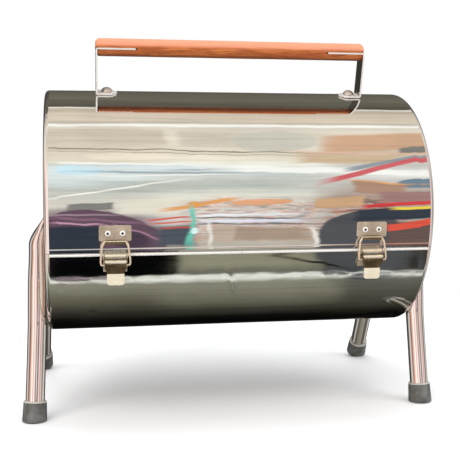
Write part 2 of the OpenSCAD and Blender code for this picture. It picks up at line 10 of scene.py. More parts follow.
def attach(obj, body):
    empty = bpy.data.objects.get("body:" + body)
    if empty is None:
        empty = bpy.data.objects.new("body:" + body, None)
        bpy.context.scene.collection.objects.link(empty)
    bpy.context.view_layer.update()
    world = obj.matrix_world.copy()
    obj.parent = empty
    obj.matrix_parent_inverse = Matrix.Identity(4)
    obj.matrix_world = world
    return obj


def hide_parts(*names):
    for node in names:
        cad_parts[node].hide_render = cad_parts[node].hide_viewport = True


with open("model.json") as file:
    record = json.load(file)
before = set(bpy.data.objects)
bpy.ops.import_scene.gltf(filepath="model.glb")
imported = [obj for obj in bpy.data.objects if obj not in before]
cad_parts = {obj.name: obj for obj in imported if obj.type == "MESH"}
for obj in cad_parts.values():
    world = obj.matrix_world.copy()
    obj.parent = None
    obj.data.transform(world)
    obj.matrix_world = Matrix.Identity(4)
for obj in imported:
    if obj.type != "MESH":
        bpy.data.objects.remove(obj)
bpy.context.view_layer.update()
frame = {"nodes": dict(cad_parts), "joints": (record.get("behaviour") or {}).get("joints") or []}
joints = {j["name"]: j for j in frame["joints"]}
X = Vector((1, 0, 0))

# ---- the barrel, in metres and in its own frame: axis along X, seam in the plane z = 0 ----
RADIUS = 0.145
SHEET = 0.0008
SHELL_HALF = 0.2145  # half the length of the skin
TILT = math.radians(15.4)  # how far the seam leans towards the front
SEAM_GAP = 0.0002  # each half stays this far from the seam plane
BEAD = 0.0016  # radius of the base's rolled rim
RIM_DEPTH = 2 * BEAD + SEAM_GAP
HEM = 0.0006  # how far the lid's folded edge stands out
HEM_HEIGHT = 0.0045
HINGE_X = 0.130
HINGE_AXIS = RADIUS + 0.0032
LATCH_X = 0.1445
hinge_at = Vector(joints["lid_hinge"]["pos_m"])
lean = Matrix.Rotation(TILT, 4, "X")
axis_at = hinge_at - lean @ Vector((0, HINGE_AXIS, 0))
BARREL = Matrix.Translation(axis_at) @ lean


# ---- mesh helpers ----

def finish_mesh(name, mesh, body, replaced=(), matrix=None, smooth_angle=40):
    """An object for the mesh, shaded smooth up to an angle, riding on its body."""
    if matrix is not None:
        mesh.transform(matrix)
        if matrix.determinant() < 0:
            mesh.flip_normals()
    mesh.polygons.foreach_set("use_smooth", [True] * len(mesh.polygons))
    mesh.set_sharp_from_angle(angle=math.radians(smooth_angle))
    mesh.update()
    obj = bpy.data.objects.new(name, mesh)
    bpy.context.scene.collection.objects.link(obj)
    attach(obj, body)
    if replaced:
        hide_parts(*replaced)
    return obj


def mesh_from(name, verts, faces):
    mesh = bpy.data.meshes.new(name)
    mesh.from_pydata([tuple(v) for v in verts], [], faces)
    mesh.validate()
    return mesh


def skin_rings(rings, caps=True):
    """Faces that join equal closed rings of points into a skin."""
    verts = [p for ring in rings for p in ring]
    n = len(rings[0])
    faces = []
    for i in range(len(rings) - 1):
        for k in range(n):
            a, b = i * n + k, i * n + (k + 1) % n
            faces.append((a, b, b + n, a + n))
    if caps:
        faces.append(tuple(range(n - 1, -1, -1)))
        faces.append(tuple(range(len(rings) * n - n, len(rings) * n)))
    return verts, faces


def edited(mesh, change=None):
    """The mesh after an optional change to its bmesh, with every face turned outwards."""
    bm = bmesh.new()
    bm.from_mesh(mesh)
    if change:
        change(bm)
    bmesh.ops.recalc_face_normals(bm, faces=bm.faces)
    bm.to_mesh(mesh)
    bm.free()
    return mesh


def lathe(name, profile, segments=48):
    """A solid turned about Z from a profile of (radius, z) that starts and ends on the axis."""
    rings = []
    for radius, z in profile[1:-1]:
        rings.append([Vector((radius * math.cos(t), radius * math.sin(t), z))
                      for t in (2 * math.pi * k / segments for k in range(segments))])
    verts, faces = skin_rings(rings, caps=False)
    n, last = segments, len(verts)
    verts = list(verts) + [Vector((0, 0, profile[0][1])), Vector((0, 0, profile[-1][1]))]
    for k in range(n):
        faces.append(((k + 1) % n, k, last))
        top = (len(rings) - 1) * n
        faces.append((top + k, top + (k + 1) % n, last + 1))
    return edited(mesh_from(name, verts, faces))


def join(name, meshes):
    """Several meshes as one."""
    bm = bmesh.new()
    for m in meshes:
        bm.from_mesh(m)
    out = bpy.data.meshes.new(name)
    bm.to_mesh(out)
    bm.free()
    return out


def rounded(points, radius, steps=6):
    """The path with its inner corners turned into arcs."""
    path = [Vector(points[0])]
    for before, at, after in zip(points, points[1:-1], points[2:]):
        before, at, after = Vector(before), Vector(at), Vector(after)
        a, b = (before - at).normalized(), (after - at).normalized()
        half = a.angle(b) / 2
        reach = min(radius / math.tan(half), (before - at).length * 0.49, (after - at).length * 0.49)
        start, end = at + a * reach, at + b * reach
        for k in range(steps + 1):
            t = k / steps
            path.append(start.lerp(at, t).lerp(at.lerp(end, t), t))
    path.append(Vector(points[-1]))
    return path


def resampled(path, step):
    """The path with points no further apart than about two steps."""
    dense = []
    for a, b in zip(path, path[1:]):
        pieces = max(1, int((b - a).length / step))
        dense += [a.lerp(b, k / pieces) for k in range(pieces)]
    dense.append(path[-1])
    return dense


def wire(name, path, radius, sides=20):
    """A round wire along a path, its ends slightly rounded."""
    rings = []
    tangent = (path[1] - path[0]).normalized()
    side = tangent.orthogonal().normalized()
    ends = [(0.0, 0.55), (0.35, 0.9)]  # (distance from the tip, size), in radii
    full = 0.8  # from here on the wire has its full radius
    for i, p in enumerate(path):
        ahead = path[min(i + 1, len(path) - 1)] - path[max(i - 1, 0)]
        turn = tangent.rotation_difference(ahead.normalized())
        side.rotate(turn)
        tangent = ahead.normalized()
        up = tangent.cross(side)

        def ring(at, r):
            return [at + (side * math.cos(t) + up * math.sin(t)) * r
                    for t in (2 * math.pi * k / sides for k in range(sides))]

        if i == 0:
            rings += [ring(p + tangent * radius * d, radius * s) for d, s in ends]
            rings.append(ring(p + tangent * radius * full, radius))
        elif i == len(path) - 1:
            rings.append(ring(p - tangent * radius * full, radius))
            rings += [ring(p - tangent * radius * d, radius * s) for d, s in reversed(ends)]
        else:
            rings.append(ring(p, radius))
    return edited(mesh_from(name, *skin_rings(rings)))


def strip(name, rows, thickness, columns=9):
    """Sheet metal: rows of (centre, half width, across, normal), given a thickness along the normal."""
    rings = []
    for centre, half, across, normal in rows:
        top, under = [], []
        for k in range(columns):
            offset = half * (2 * k / (columns - 1) - 1)
            p = centre + across * offset
            top.append(p + normal * thickness / 2)
            under.append(p - normal * thickness / 2)
        rings.append(top + under[::-1])
    return edited(mesh_from(name, *skin_rings(rings)))


def soften(obj, width, segments=2, angle=35):
    """A small bevel on the sharp edges."""
    mod = obj.modifiers.new("edge", "BEVEL")
    mod.width = width
    mod.segments = segments
    mod.limit_method = "ANGLE"
    mod.angle_limit = math.radians(angle)
    mod.harden_normals = True
    return obj


def prism(name, outline, x0, x1):
    """A flat outline of (out, up) pulled from x0 to x1."""
    rings = [[Vector((x, p[0], p[1])) for p in outline] for x in (x0, x1)]
    return edited(mesh_from(name, *skin_rings(rings)))


# ---- node helpers ----

def link(tree, value, socket):
    """Join a socket, or set the socket's value."""
    if isinstance(value, bpy.types.NodeSocket):
        tree.links.new(value, socket)
    elif value is not None:
        socket.default_value = value


def add(tree, kind, inputs=None, **props):
    node = tree.nodes.new(kind)
    for key, value in props.items():
        setattr(node, key, value)
    for key, value in (inputs or {}).items():
        link(tree, value, node.inputs[key])
    return node


def math_node(tree, op, a, b=None, c=None):
    node = add(tree, "ShaderNodeMath", {0: a}, operation=op)
    if b is not None:
        link(tree, b, node.inputs[1])
    if c is not None:
        link(tree, c, node.inputs[2])
    return node.outputs[0]


def linear(rgb):
    """An sRGB colour of 0 to 255 as linear light."""
    out = []
    for v in rgb:
        v = v / 255
        out.append(v / 12.92 if v <= 0.04045 else ((v + 0.055) / 1.055) ** 2.4)
    return (*out, 1.0)


def ramp(tree, value, stops):
    """A colour ramp of (position, sRGB colour)."""
    node = add(tree, "ShaderNodeValToRGB", {"Fac": value})
    bar = node.color_ramp
    while len(bar.elements) > 1:
        bar.elements.remove(bar.elements[-1])
    for i, (at, colour) in enumerate(stops):
        element = bar.elements[0] if i == 0 else bar.elements.new(at)
        element.position = at
        element.color = linear(colour)
    return node.outputs["Color"]


def mix(tree, factor, a, b, blend="MIX"):
    node = add(tree, "ShaderNodeMix", data_type="RGBA", blend_type=blend)
    link(tree, factor, node.inputs[0])
    link(tree, a, node.inputs[6])
    link(tree, b, node.inputs[7])
    return node.outputs[2]


def between(tree, value, low, high, to_low=0.0, to_high=1.0, smooth=False):
    """The value's place from low to high, held at both ends."""
    node = add(tree, "ShaderNodeMapRange", {"Value": value, 1: low, 2: high, 3: to_low, 4: to_high},
               interpolation_type="SMOOTHSTEP" if smooth else "LINEAR", clamp=True)
    return node.outputs[0]


def noise_at(tree, vector, scale, detail=3, rough=0.55, distort=0.0):
    node = add(tree, "ShaderNodeTexNoise", {"Vector": vector, "Scale": scale, "Detail": detail,
                                            "Roughness": rough, "Distortion": distort})
    return node.outputs["Fac"]


def stretched(tree, scale):
    """The piece's own coordinates, times a scale on each axis."""
    coords = add(tree, "ShaderNodeTexCoord").outputs["Object"]
    return add(tree, "ShaderNodeMapping", {"Vector": coords, "Scale": scale}).outputs[0]


def material(name):
    mat = bpy.data.materials.new(name)
    mat.use_nodes = True
    tree = mat.node_tree
    return mat, tree, tree.nodes["Principled BSDF"]


def set_bump(tree, bsdf, height, strength, distance):
    bump = add(tree, "ShaderNodeBump", {"Height": height, "Strength": strength, "Distance": distance})
    tree.links.new(bump.outputs[0], bsdf.inputs["Normal"])


def metal(name, dark, light, rough, grain, smudge, bump, wear=0.0, metallic=1.0):
    """Bare metal: cloudy tone, smudged roughness, fine drawn scratches and worn specks."""
    mat, tree, bsdf = material(name)
    bsdf.inputs["Metallic"].default_value = metallic
    wide = stretched(tree, (1, 1, 1))
    cloud = noise_at(tree, wide, smudge, 4, 0.6, 0.4)
    scratch = noise_at(tree, stretched(tree, grain), 60, 5, 0.7)
    tone = math_node(tree, "MULTIPLY_ADD", cloud, 0.7, math_node(tree, "MULTIPLY", scratch, 0.3))
    colour = mix(tree, between(tree, tone, 0.3, 0.7), linear(dark), linear(light))
    if wear:
        specks = between(tree, noise_at(tree, wide, smudge * 14, 2, 0.5), 0.68, 0.74)
        colour = mix(tree, math_node(tree, "MULTIPLY", specks, wear), colour, linear((236, 232, 220)))
    link(tree, colour, bsdf.inputs["Base Color"])
    link(tree, between(tree, tone, 0.35, 0.68, *rough), bsdf.inputs["Roughness"])
    set_bump(tree, bsdf, scratch, bump, 0.0002)
    return mat


# name, dark tone, light tone, roughness, grain, size of smudges, bump, wear, metallic
MIRROR = metal("polished_lid_steel", (225, 225, 224), (243, 243, 243),
               (0.006, 0.028), (0.6, 9, 9), 7, 0.012, 0.25)
SATIN = metal("satin_base_steel", (205, 205, 198), (227, 227, 222),
              (0.02, 0.085), (0.6, 9, 9), 9, 0.03, 0.5)
CHROME = metal("leg_chrome", (230, 226, 224), (246, 242, 240),
               (0.02, 0.07), (8, 8, 0.8), 14, 0.015, 0.2)
PLATE = metal("nickel_plate", (186, 172, 148), (222, 210, 188),
              (0.22, 0.38), (1, 7, 7), 60, 0.08, 0.3, 0.6)
# painted highlight: a pale cream copy of the latch nickel for the lit finger tab
PAINTED_HIGHLIGHT_TAB = metal("painted_highlight_nickel", (236, 226, 196), (250, 244, 222),
            (0.34, 0.5), (7, 1, 1), 60, 0.05, 0.0, 0.35)
WIRE = metal("bail_wire_nickel", (226, 214, 186), (246, 238, 220),
             (0.10, 0.22), (2, 2, 2), 90, 0.06, 0.0, 0.85)
STRAP = metal("strap_steel", (150, 148, 142), (178, 176, 170),
              (0.10, 0.24), (6, 1, 1), 30, 0.06, 0.3)
# painted highlight: a near-white tone for the light caught on sheet edges, the straps' feet and the eyelets
PAINTED_EDGE_HIGHLIGHT = metal("painted_highlight_sheet_edge", (244, 242, 236), (254, 252, 248),
             (0.25, 0.4), (2, 2, 2), 60, 0.04, 0.0, 0.35)
# painted shade: a darker copy of the latch nickel for the keeper's hook, the lever's cheeks and its face
PAINTED_SHADE_NICKEL = metal("shaded_nickel", (120, 100, 70), (168, 146, 112),
             (0.16, 0.32), (1, 7, 7), 60, 0.08, 0.3, 0.9)
# painted highlight: a pale copy of the latch nickel for the lever's sleeve and the face's rolled lip
PAINTED_HIGHLIGHT_SLEEVE = metal("painted_highlight_sleeve_nickel", (240, 226, 196), (254, 246, 226),
               (0.12, 0.24), (1, 7, 7), 60, 0.04, 0.0, 0.7)
HINGE = metal("hinge_steel", (196, 194, 190), (222, 220, 214),
              (0.14, 0.30), (6, 1, 1), 40, 0.06, 0.3)
RIVET = metal("rivet_aluminium", (212, 206, 196), (236, 230, 220),
              (0.2, 0.36), (1, 1, 1), 80, 0.1, 0.2, 0.85)
GRATE = metal("grate_wire", (196, 196, 196), (224, 224, 222),
              (0.12, 0.26), (3, 3, 3), 40, 0.06)
ZINC = metal("zinc_fastener", (176, 178, 184), (206, 208, 212),
             (0.24, 0.4), (3, 3, 3), 90, 0.12, 0.2)
# painted highlight: a pale ring for the light caught on the top rim of the rubber tips
PAINTED_RIM_HIGHLIGHT = metal("painted_highlight_rubber_rim", (176, 174, 168), (206, 204, 196),
            (0.4, 0.6), (3, 3, 3), 120, 0.1, 0.0, 0.0)
# painted shade: near-black for the shaded eyes of the eyelets
PAINTED_HOLE_SHADE = metal("painted_shade_hole", (10, 10, 10), (24, 22, 20),
             (0.5, 0.7), (3, 3, 3), 60, 0.1, 0.0, 0.0)


def wood():
    """Oiled wood: a long figure, fine pores, a painted pinker highlight on the top and painted shade on the
    underside.
    """
    mat, tree, bsdf = material("oiled_reddish_wood")
    figure = noise_at(tree, stretched(tree, (1.2, 16, 16)), 22, 6, 0.62, 1.2)
    pores = noise_at(tree, stretched(tree, (5, 70, 70)), 30, 3, 0.6)
    broad = noise_at(tree, stretched(tree, (2.0, 5, 5)), 9, 3, 0.5, 0.8)
    colour = ramp(tree, between(tree, figure, 0.3, 0.72), [
        (0.0, (138, 70, 26)), (0.35, (182, 96, 40)), (0.6, (208, 118, 58)), (1.0, (226, 144, 84))])
    colour = mix(tree, between(tree, broad, 0.42, 0.66, 0.0, 0.55), colour, linear((150, 66, 22)))
    colour = mix(tree, between(tree, pores, 0.60, 0.70, 0.0, 0.5), colour, linear((112, 44, 20)))
    normal = add(tree, "ShaderNodeNewGeometry").outputs["Normal"]
    upward = add(tree, "ShaderNodeSeparateXYZ", {0: normal}).outputs[2]
    # painted highlight: wood facing upwards is lightened towards pink
    painted_top_light = between(tree, upward, -0.12, 0.30, 0.0, 0.70, smooth=True)
    colour = mix(tree, painted_top_light, colour, linear((238, 162, 130)))
    # painted shade: wood facing downwards is darkened
    painted_underside_shade = between(tree, upward, -0.70, -0.95, 0.0, 0.7, smooth=True)
    colour = mix(tree, painted_underside_shade, colour, linear((96, 56, 40)))
    link(tree, colour, bsdf.inputs["Base Color"])
    link(tree, between(tree, pores, 0.3, 0.7, 0.38, 0.6), bsdf.inputs["Roughness"])
    bsdf.inputs["Specular IOR Level"].default_value = 0.4
    set_bump(tree, bsdf, pores, 0.25, 0.0003)
    return mat


def rubber():
    """Black rubber, greyed by dust."""
    mat, tree, bsdf = material("satin_black_rubber")
    own = stretched(tree, (1, 1, 1))
    speck = noise_at(tree, own, 420, 4, 0.6)
    dust = noise_at(tree, own, 60, 5, 0.6, 0.6)
    dusty = between(tree, dust, 0.45, 0.75, 0.0, 0.7)
    colour = mix(tree, dusty, linear((78, 80, 78)), linear((136, 138, 132)))
    link(tree, colour, bsdf.inputs["Base Color"])
    link(tree, between(tree, dust, 0.3, 0.7, 0.24, 0.45), bsdf.inputs["Roughness"])
    bsdf.inputs["Specular IOR Level"].default_value = 0.7
    set_bump(tree, bsdf, speck, 0.2, 0.0002)
    return mat


WOOD = wood()
RUBBER = rubber()


def paint(obj, mat):
    obj.data.materials.clear()
    obj.data.materials.append(mat)
    return obj


def paint_where(obj, mat, place, chosen):
    """A second material on the faces whose centre and normal, back in local axes, are chosen."""
    obj.data.materials.append(mat)
    back = place.inverted()
    turn = back.to_3x3()
    slot = len(obj.data.materials) - 1
    for poly in obj.data.polygons:
        if chosen(back @ poly.center, (turn @ poly.normal).normalized()):
            poly.material_index = slot
    return obj


# ---- shells ----

ARCS = 150  # steps round the outside of a shell, half as many inside
STATIONS = 190  # steps along it
CALM_EDGE = 0.012  # the sheet grows stiff and true this close to its ends


def gauss(distance, width):
    return math.exp(-(distance / width) ** 2)


def waviness(x, arc, seed):
    """How far the thin sheet stands from a true cylinder, in metres."""
    broad = noise.noise(Vector((x / 0.21 + seed, arc / 0.10, seed * 1.7)))
    fine = noise.noise(Vector((x / 0.075 + 9 + seed, arc / 0.034, seed)))
    return 0.00030 * broad + 0.00005 * fine


def lid_dents(x, arc):
    """A low swelling left of the middle and a shallow dent right of it."""
    swelling = 0.00012 * gauss(math.hypot(x + 0.05, (arc - 0.10) * 0.7), 0.03)
    dent = 0.00015 * gauss(math.hypot(x - 0.10, arc - 0.06), 0.035)
    return swelling - dent


def base_dents(x, arc):
    """The base's crease, its pressed-in lower corners and small knocks."""
    crease = 0.00045 * gauss(x + 0.018 - 0.33 * (arc - 0.028), 0.0022) * gauss(arc - 0.046, 0.026)
    left = -0.0012 * gauss(math.hypot(x + 0.205, arc - 0.125), 0.016)
    right = -0.0013 * gauss(math.hypot((x - 0.196) * 0.7, arc - 0.130), 0.018)
    knocked = ((-0.203, 0.044), (-0.17, 0.088), (-0.02, 0.148), (0.06, 0.15), (-0.09, 0.15))
    knocks = sum(-0.0003 * gauss(math.hypot(x - at, arc - down), 0.004) for at, down in knocked)
    ripple = 0.00011 * noise.noise(Vector((x / 0.017, arc / 0.012, 4.2))) * gauss(arc - 0.030, 0.012)
    return crease + left + right + knocks + ripple


def hinge_gap(x):
    """0 beside a hinge leaf, 1 elsewhere, for the folded edge at the back."""
    half_leaf, run_out = 0.0187, 0.0015
    near = min(abs(x - HINGE_X), abs(x + HINGE_X))
    return min(max((near - half_leaf) / run_out, 0), 1)


def bead(y_sign, size):
    """The base's rolled rim as (y, z) points; size 0 is thin enough to pass behind a hinge."""
    steps, rolled = 10, 1.62 * math.pi
    radius = BEAD * (0.55 + 0.45 * size)
    middle = RADIUS - 0.0004 * (1 - size)
    out = []
    for k in range(steps + 1):
        t = rolled * k / steps - math.pi / 2
        out.append((y_sign * (middle + radius * math.cos(t)), radius * math.sin(t) - SEAM_GAP - BEAD))
    return out


def hem(y_sign, size):
    """The lid's folded edge as (y, z) points; size 0 is flush with the skin."""
    rise = HEM * size
    top = SEAM_GAP + HEM_HEIGHT
    shape = [(0.0, top + 0.0006), (rise * 0.7, top + 0.0002), (rise, top - 0.0005),
             (rise, SEAM_GAP + 0.0006), (rise * 0.75, SEAM_GAP + 0.00015), (rise * 0.2, SEAM_GAP),
             (-SHEET * 0.8, SEAM_GAP)]
    return [(y_sign * (math.sqrt(RADIUS ** 2 - z ** 2) + d), z) for d, z in shape]


def half_round(radius, first, steps, flip):
    """(y, z, weight of waviness) from the front edge over to the back one."""
    points = []
    for k in range(steps + 1):
        t = first + (math.pi - 2 * first) * k / steps
        height = math.sin(t)
        points.append((-math.cos(t) * radius, flip * height * radius, min(1, height * 4)))
    return points


def cross_section(x, lower):
    """The sheet's closed outline at x, as (y, z, weight of waviness)."""
    edge, flip = (bead, -1) if lower else (hem, 1)
    stiff = 0.2
    outer_edge = RIM_DEPTH + 0.0004 if lower else HEM_HEIGHT + 0.0015
    inner_edge = RIM_DEPTH - 0.0002 if lower else SEAM_GAP + 0.0004
    outer = half_round(RADIUS, math.asin(outer_edge / RADIUS), ARCS, flip)
    inner = half_round(RADIUS - SHEET, math.asin(inner_edge / RADIUS), ARCS // 2, flip)
    back = [(y, z, stiff) for y, z in edge(1, hinge_gap(x))]
    front = [(y, z, stiff) for y, z in edge(-1, 1)]
    return outer + back + inner[::-1] + front[::-1]


def shell(name, node, body, lower, mat, dents, seed):
    """Half of the barrel's skin with its front and back edges."""
    rings = []
    for i in range(STATIONS + 1):
        x = SHELL_HALF * (2 * i / STATIONS - 1)
        ends = min(1, (SHELL_HALF - abs(x)) / CALM_EDGE + 0.15)
        ring = []
        for y, z, weight in cross_section(x, lower):
            arc = math.atan2(abs(z), -y) * RADIUS
            scale = 1 + (waviness(x, arc, seed) + dents(x, arc)) * weight * ends / RADIUS
            ring.append(Vector((x, y * scale, z * scale if weight > 0.3 else z)))
        rings.append(ring)
    mesh = edited(mesh_from(name, *skin_rings(rings)))
    return paint(finish_mesh(name, mesh, body, [node], BARREL, 50), mat)


shell("lid_sheet", "lid_shell", "lid", False, MIRROR, lid_dents, 3.1)
base_sheet = shell("base_sheet", "base_shell", "base", True, SATIN, base_dents, 7.4)
# painted highlight: the base's rolled rim is painted near-white
paint_where(base_sheet, PAINTED_EDGE_HIGHLIGHT, BARREL, lambda at, out: at.z > -RIM_DEPTH and abs(at.y) > RADIUS - 0.002)


# ---- handle ----

GRIP_LIFT = 0.199  # from the barrel's axis to the grip's
GRIP_HALF = 0.161
GRIP_RADIUS = 0.01025
GRIP_NOSE = 0.005  # radius of its rounded ends
STRAP_THICK = 0.002
STRAP_HALF = 0.0115  # half width of the strap's foot
SLOT_DEPTH = 0.048


def box(bm, size, at):
    """A box added to the bmesh."""
    made = bmesh.ops.create_cube(bm, size=1)
    bmesh.ops.scale(bm, vec=size, verts=made["verts"])
    bmesh.ops.translate(bm, vec=at, verts=made["verts"])


def cut_away(mesh, cutter_mesh):
    """The mesh with the cutter's volume taken out of it."""
    work = []
    for part in (cutter_mesh, mesh):
        obj = bpy.data.objects.new("work", part)
        bpy.context.scene.collection.objects.link(obj)
        work.append(obj)
    mod = work[1].modifiers.new("cut", "BOOLEAN")
    mod.object = work[0]
    mod.operation = "DIFFERENCE"
    mod.solver = "EXACT"
    mod.use_self = True
    bpy.context.view_layer.update()
    result = bpy.data.meshes.new_from_object(work[1].evaluated_get(bpy.context.evaluated_depsgraph_get()))
    for obj in work:
        bpy.data.objects.remove(obj)
    return result


def grip():
    """The turned wooden bar, with a saw cut in each end and the wood under it stepped back."""
    nose_steps, bar_steps = 8, 60
    profile = [(0, -GRIP_HALF)]
    for k in range(nose_steps + 1):
        t = math.pi / 2 * k / nose_steps
        radius = GRIP_RADIUS + GRIP_NOSE * (math.sin(t) - 1)
        profile.append((radius, GRIP_NOSE * (1 - math.cos(t)) - GRIP_HALF))
    straight = GRIP_HALF - GRIP_NOSE
    for k in range(1, bar_steps):
        z = straight * (2 * k / bar_steps - 1)
        profile.append((GRIP_RADIUS + 0.00012 * noise.noise(Vector((z * 30, 1.3, 0))), z))
    profile += [(r, -z) for r, z in profile[nose_steps + 1::-1]]
    mesh = lathe("grip", profile, 96)
    mesh.transform(Matrix.Rotation(math.pi / 2, 4, "Y"))

    cutter = bmesh.new()
    past = 0.01  # the cutters run this far past the end
    for side in (-1, 1):
        slot_at = (side * (GRIP_HALF - SLOT_DEPTH / 2 + past / 2), 0, 0)
        box(cutter, (SLOT_DEPTH + past, 0.06, STRAP_THICK - 0.0001), slot_at)
        box(cutter, (0.02, 0.06, 0.02), (side * (GRIP_HALF - STRAP_THICK + past), 0, -0.0101))
    cutter_mesh = bpy.data.meshes.new("cutter")
    cutter.to_mesh(cutter_mesh)
    cutter.free()
    place = BARREL @ Matrix.Translation((0, 0, GRIP_LIFT))
    obj = finish_mesh("wooden_grip", cut_away(mesh, cutter_mesh), "lid", ["handle_grip"], place, 35)
    return soften(paint(obj, WOOD), 0.0003)


grip()


def strap(side, word):
    """The flat steel strap: a tab in the grip's saw cut, a bend, the upright and the riveted foot."""
    x = GRIP_HALF - STRAP_THICK / 2
    tip_x = GRIP_HALF - 0.025
    foot_z = RADIUS + STRAP_THICK / 2 + 0.0001
    path = rounded([(x - SLOT_DEPTH + 0.003, 0, GRIP_LIFT), (x, 0, GRIP_LIFT), (x, 0, foot_z),
                    (tip_x, 0, foot_z)], 0.0022, 8)
    dense = resampled(path, 0.002)
    across = Vector((0, 1, 0))
    rows = []
    for i, p in enumerate(dense):
        tangent = (dense[min(i + 1, len(dense) - 1)] - dense[max(i - 1, 0)]).normalized()
        normal = across.cross(tangent).normalized()
        if p.z > GRIP_LIFT - 0.003:
            half = 0.01035  # inside the grip
        elif p.z > foot_z + 0.004:
            half = 0.011  # the upright
        else:
            half = STRAP_HALF
        to_tip = p.x - tip_x
        if p.z < foot_z + 0.001 and to_tip < STRAP_HALF:
            half = math.sqrt(max(STRAP_HALF ** 2 - (STRAP_HALF - to_tip) ** 2, 0.0012 ** 2))
        rows.append((Vector((side * p.x, p.y, p.z)), half, across, Vector((side * normal.x, 0, normal.z))))
    mesh = strip(f"strap_{word}", rows, STRAP_THICK)
    obj = finish_mesh(f"grip_strap_{word}", mesh, "lid", [f"handle_strap_{word}"], BARREL, 40)
    paint(obj, STRAP)
    # painted highlight: the strap's side edges and its foot are painted near-white
    paint_where(obj, PAINTED_EDGE_HIGHLIGHT, BARREL, lambda at, out: abs(out.y) > 0.7 or at.z < foot_z + 0.0015)
    return soften(obj, 0.0003)


strap(-1, "left")
strap(1, "right")


def on_lid_skin(x, angle):
    """A frame standing on the barrel's skin, its Z straight out, angle measured up from the front seam."""
    out = Vector((0, -math.cos(angle), math.sin(angle)))
    turn = Matrix((X, out.cross(X), out)).transposed().to_4x4()
    return Matrix.Translation(Vector((x, 0, 0)) + out * RADIUS) @ turn


def dome_rivets():
    """The two rivets through the straps' feet, with their shop heads inside the lid."""
    profile = [(0, -0.0045), (0.0048, -0.0045), (0.0052, -0.0040), (0.0052, -0.0030), (0.0025, -0.0029),
               (0.0025, 0.0), (0.0062, 0.0), (0.0067, 0.0004), (0.0066, 0.0010)]
    steps = 12
    for k in range(1, steps):
        t = math.pi / 2 * k / steps
        profile.append((0.0063 * math.cos(t), 0.0010 + 0.0044 * math.sin(t)))
    profile.append((0, 0.0054))
    made = []
    for side in (-1, 1):
        dome = lathe("dome", profile, 40)
        at = (side * (GRIP_HALF - 0.013), 0, RADIUS + STRAP_THICK + 0.0002)
        dome.transform(Matrix.Translation(at))
        made.append(dome)
    obj = finish_mesh("dome_rivets", join("domes", made), "lid", ["handle_rivets"], BARREL, 40)
    return paint(obj, RIVET)


EYELET_UP = 0.0224  # above the seam
EYELET_STEP = 0.0079  # to each side of the latch's middle
EYELET_X = [side * LATCH_X + step for side in (-1, 1) for step in (-EYELET_STEP, EYELET_STEP)]


def eyelets():
    """Open-eyed rivets that hold the keepers; each eye is a shallow recess painted near-black as shade."""
    profile = [(0, 0.0011), (0.0012, 0.0011), (0.00135, 0.0014), (0.00135, 0.0019), (0.0016, 0.0022),
               (0.0021, 0.00225), (0.0027, 0.0019), (0.0031, 0.0014), (0.0032, 0.00112), (0.0022, 0.0011),
               (0.0020, -0.0016), (0, -0.0016)]
    made = []
    for x in EYELET_X:
        m = lathe("eyelet", profile, 32)
        m.transform(on_lid_skin(x, math.asin(EYELET_UP / RADIUS)))
        made.append(m)
    obj = finish_mesh("keeper_eyelets", join("eyelets", made), "lid", ["keeper_rivets"], BARREL, 40)
    # painted highlight: the eyelets are painted the near-white tone
    paint(obj, PAINTED_EDGE_HIGHLIGHT)

    def in_eye(at, out):
        beside = min(abs(at.x - x) for x in EYELET_X)
        height = Vector((0, at.y, at.z)).length
        return math.hypot(beside, at.z - EYELET_UP) < 0.00128 and height < RADIUS + 0.0018
    # painted shade: the eye of each eyelet is painted near-black
    return paint_where(obj, PAINTED_HOLE_SHADE, BARREL, in_eye)


dome_rivets()
eyelets()


# ---- legs: bolt at the origin, hanging down -Z, outside towards +X ----

TUBE = 0.011
TAB_HALF = 0.0013  # half thickness of the flattened top
TAB_ROUND = 0.017  # its half width, and the radius of its end
OVAL_HALF = 0.0100  # half thickness where the flare is an oval
FLARE = 0.103  # from the bolt down to the round tube
FLARE_OUT = 0.0141  # how far the flare swings outwards
KNEE = 0.148  # from the bolt down to the bend
LEG_SIDES = 56
FOOT_BOTTOM = 0.01425
FOOT_TOP = 0.01325
FOOT_HEIGHT = 0.024
SOLE = 0.004  # thickness of rubber under the tube
LEAN = {"front": math.radians(1.5), "rear": math.radians(28.8)}
KNEE_BEND = math.radians(4.7)
SPLAY = math.radians(2.4)
DOWN = Vector((0, 0, -1))
knee_at = Vector((0.016, 0, -KNEE))
shank_way = Vector((math.sin(SPLAY), -math.sin(KNEE_BEND), -math.cos(KNEE_BEND))).normalized()


def leg_place(side, which):
    """The leg's matrix at rest and its bolt's height above the floor."""
    at = Vector(joints[f"{side}_{which}_leg_fold"]["pos_m"])
    turn = LEAN[which] if which == "rear" else -LEAN[which]
    place = Matrix.Translation(at)
    if side == "left":
        place = place @ Matrix.Scale(-1, 4, (1, 0, 0))
    place = place @ Matrix.Rotation(turn, 4, "X")
    if which == "rear":
        place = place @ Matrix.Scale(-1, 4, (0, 1, 0))
    return place, at.z


def shank_length(height, which):
    """From the knee to the sole, so that the tilted foot just meets the floor."""
    lean_angle = LEAN[which]
    drop = FOOT_BOTTOM * math.sin(lean_angle + KNEE_BEND) - 0.002
    return (height - KNEE * math.cos(lean_angle) - drop) / math.cos(lean_angle + KNEE_BEND)


def smooth(t):
    t = min(max(t, 0), 1)
    return t * t * (3 - 2 * t)


def leg_ring(centre, half_x, half_y, square=2, tangent=DOWN):
    """Points round the leg: an ellipse when square is 2, a boxier ring when it is more."""
    power = 2 / square
    right = Vector((1, 0, 0))
    front = tangent.cross(right).normalized()
    right = front.cross(tangent).normalized()
    ring = []
    for k in range(LEG_SIDES):
        t = 2 * math.pi * k / LEG_SIDES
        c, s = math.cos(t), math.sin(t)
        ring.append(centre + right * half_x * math.copysign(abs(c) ** power, c)
                    + front * half_y * math.copysign(abs(s) ** power, s))
    return ring


